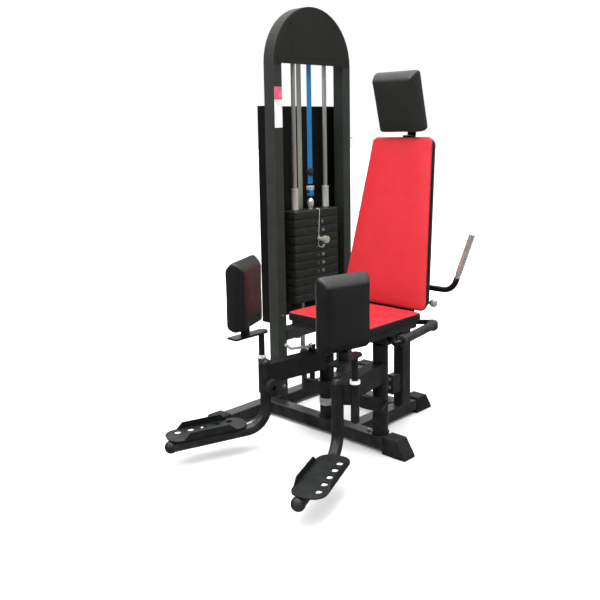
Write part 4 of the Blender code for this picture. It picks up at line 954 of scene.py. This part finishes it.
def grip(side, word):
    """Moulded grip with ribs and a flange at each end."""
    def at(t):
        return place(side * 0.270, 0.184 - t * 0.201, 0.4850 - t * 0.0210)

    start, end = at(-0.01), at(1.01)
    length = (end - start).length
    section = [(0, 0.0106), (0, 0.0215), (0.0015, 0.0230), (0.0110, 0.0230), (0.0135, 0.0200)]
    count, first, last = 24, 0.020, length - 0.020
    for k in range(count):
        base = first + (last - first) * k / count
        pitch = (last - first) / count
        section += [(base, 0.0152), (base + pitch * 0.15, 0.0165), (base + pitch * 0.75, 0.0165),
                    (base + pitch * 0.9, 0.0152)]
    section += [(length - 0.0135, 0.0200), (length - 0.0110, 0.0230), (length - 0.0015, 0.0230),
                (length, 0.0215), (length, 0.0106)]
    piece = finish_piece(f"ribbed_grip_{word}", ring_mesh(section, start, end - start, 36), GRIP,
                         "frame")
    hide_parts(f"handle_grip_{word}")


stack()
lanyard()
clamp()
belt()
for side, word in ((1, "left"), (-1, "right")):
    grip(side, word)
    x, y = side * 0.140, 0.020
    sleeve = ring_mesh([(0, 0.0301), (0, 0.0312), (0.001, 0.0318), (0.029, 0.0318), (0.030, 0.0312),
                        (0.030, 0.0301)], place(x, y, 0.1135), (0, 0, 1))
    finish_piece(f"post_ring_{word}", sleeve, SATIN if side < 0 else GREY, "frame")
    collar = ring_mesh([(0, 0.0222), (0, 0.0292), (0.001, 0.0300), (0.0665, 0.0300), (0.0675, 0.0292),
                        (0.0675, 0.0222)], place(x, y, 0.3540), (0, 0, 1))
    finish_piece(f"post_collar_{word}", collar, GREY, "frame")
    for k, offset in enumerate((-0.047, 0.047)):
        if side * offset < 0.04:
            hex_bolt(f"post_bolt_{word}_{k}", place(x + offset, y - 0.012, 0.0622), (0, 0, 1), 0.0095,
                     "frame")
    cap = turned_mesh([(0, 0.0236), (0.003, 0.0240), (0.004, 0.0236)],
                      place(side * 0.186, -0.286, 0.3445), (0, 0, 1))
    finish_piece(f"cap_seam_{word}", cap, GREY, f"{word}_arm")
    plug = turned_mesh([(0, 0.0090), (0.0015, 0.0125), (0.006, 0.0160), (0.0075, 0.0160)],
                       place(side * 0.239, -0.252, 0.2078), (0, 0, 1))
    finish_piece(f"socket_plug_{word}", plug, GREY, f"{word}_arm")

leg_x = (-0.503, -0.443)
for name, y0, y1 in (("front", 0.044, 0.094), ("rear", 0.490, 0.540)):
    weld(f"leg_weld_{name}", rectangle_path(*leg_x, y0, y1, 0.0630), "frame", closed=True)
    weld(f"low_bar_weld_{name}", [place(-0.4435, y1 if name == "front" else y0, z)
                                  for z in (0.312, 0.360)], "frame")
weld("column_weld", rectangle_path(-0.0255, 0.0255, 0.3195, 0.3805, 0.0632), "frame", closed=True)
for side, word in ((1, "left"), (-1, "right")):
    along = Vector((0.186 - 0.140, -0.286 - 0.020, 0)).normalized()
    across = Vector((-along.y, along.x, 0)) * 0.0248
    hub = Vector((0.140, 0.020, 0)) + along * 0.0235
    for k, edge in enumerate((-1, 1)):
        line = [hub + across * edge + Vector((0, 0, z)) for z in (0.274, 0.348)]
        weld(f"hub_weld_{word}_{k}", [place(side * p.x, p.y, p.z) for p in line], f"{word}_arm",
             0.0026)

hex_bolt("tower_foot_bolt", place(-0.4430, 0.069, 0.1050), (1, 0, 0), 0.0115, "frame")
for k, z in enumerate((0.150, 0.186)):
    hex_bolt(f"column_bolt_{k}", place(0, 0.2618, z), (0, -1, 0), 0.0105, "frame")
for k, y in enumerate((0.069, 0.515)):
    hex_bolt(f"shroud_bolt_low_{k}", place(-0.4430, y, 0.430), (1, 0, 0), 0.0070, "frame", False)
for side, y in ((-1, ROD_Y[0]), (1, ROD_Y[1])):
    finish_piece(f"rod_nut_{'front' if side < 0 else 'rear'}",
                 turned_mesh([(0, 0.0150), (0.010, 0.0150), (0.012, 0.0135)],
                             place(STACK_X, y, 0.2996), (0, 0, 1), 6), STEEL, "frame",
                 radians(20))

peg = turned_mesh([(0, 0.0020), (0.048, 0.0020), (0.050, 0.0012)], place(-0.473, 0.5402, 1.196), (0, 1, 0),
                  16)
finish_piece("pin_peg", peg, CHROME, "frame")

label_plane = axes((0, 1, 0), (0, 0, 1), place(-0.4425, 0.069, 1.333))
film = plate_mesh([round_outline([(-0.0230, -0.082), (0.0230, -0.082), (0.0230, 0.036),
                                  (-0.0230, 0.036)], 0.002)], 0.0006, 0.0001, label_plane)
finish_piece("blank_label", film, LABEL, "frame")
band = plate_mesh([round_outline([(-0.0230, 0.037), (0.0230, 0.037), (0.0230, 0.090),
                                  (-0.0230, 0.090)], 0.002)], 0.0006, 0.0001, label_plane)
finish_piece("blank_label_band", band, LABEL_BAND, "frame")

lever_y, lever_z = 0.3150, 0.5970
sleeve_path = softened([place(0.034, lever_y, lever_z), place(0.272, lever_y, lever_z + 0.001),
                        place(0.2925, lever_y, lever_z + 0.0572)], [0.0640])
finish_piece("lever_sleeve_black", tube_mesh(sleeve_path, 0.0114), BLACK, "side_lever",
             pi)
lever_top = Vector((0.3580, lever_y, 0.8330))
lever_grip = turned_mesh([(0, 0.0116), (0.0006, 0.0120), (0.1745, 0.0120), (0.1760, 0.0112)],
                         place(*lever_top), Vector((0.2925, lever_y, lever_z + 0.0572)) - lever_top)
finish_piece("lever_grip", lever_grip, PLATING, "side_lever")

# ---------------------------------------------------------------- floor
shape = bmesh.new()
bmesh.ops.create_grid(shape, x_segments=2, y_segments=2, size=30)
ground = bpy.data.objects.new("studio_floor", mesh_from(shape))
ground.location = (0, 0, -0.0004)
bpy.context.scene.collection.objects.link(ground)
floor_material, tree, shader, coords = new_material("studio_paper", Roughness=0.85,
                                                    Specular_IOR_Level=0.15)
mist = texture(tree, "ShaderNodeTexNoise", coords, 0.8, Detail=2.0)
link(tree, blended(tree, mapped(tree, mist.outputs["Fac"], 0.3, 0.7, 0, 1), (0.93, 0.93, 0.93),
                   (0.95, 0.95, 0.95)), shader.inputs["Base Color"])
ground.data.materials.append(floor_material)
ground.visible_glossy = False
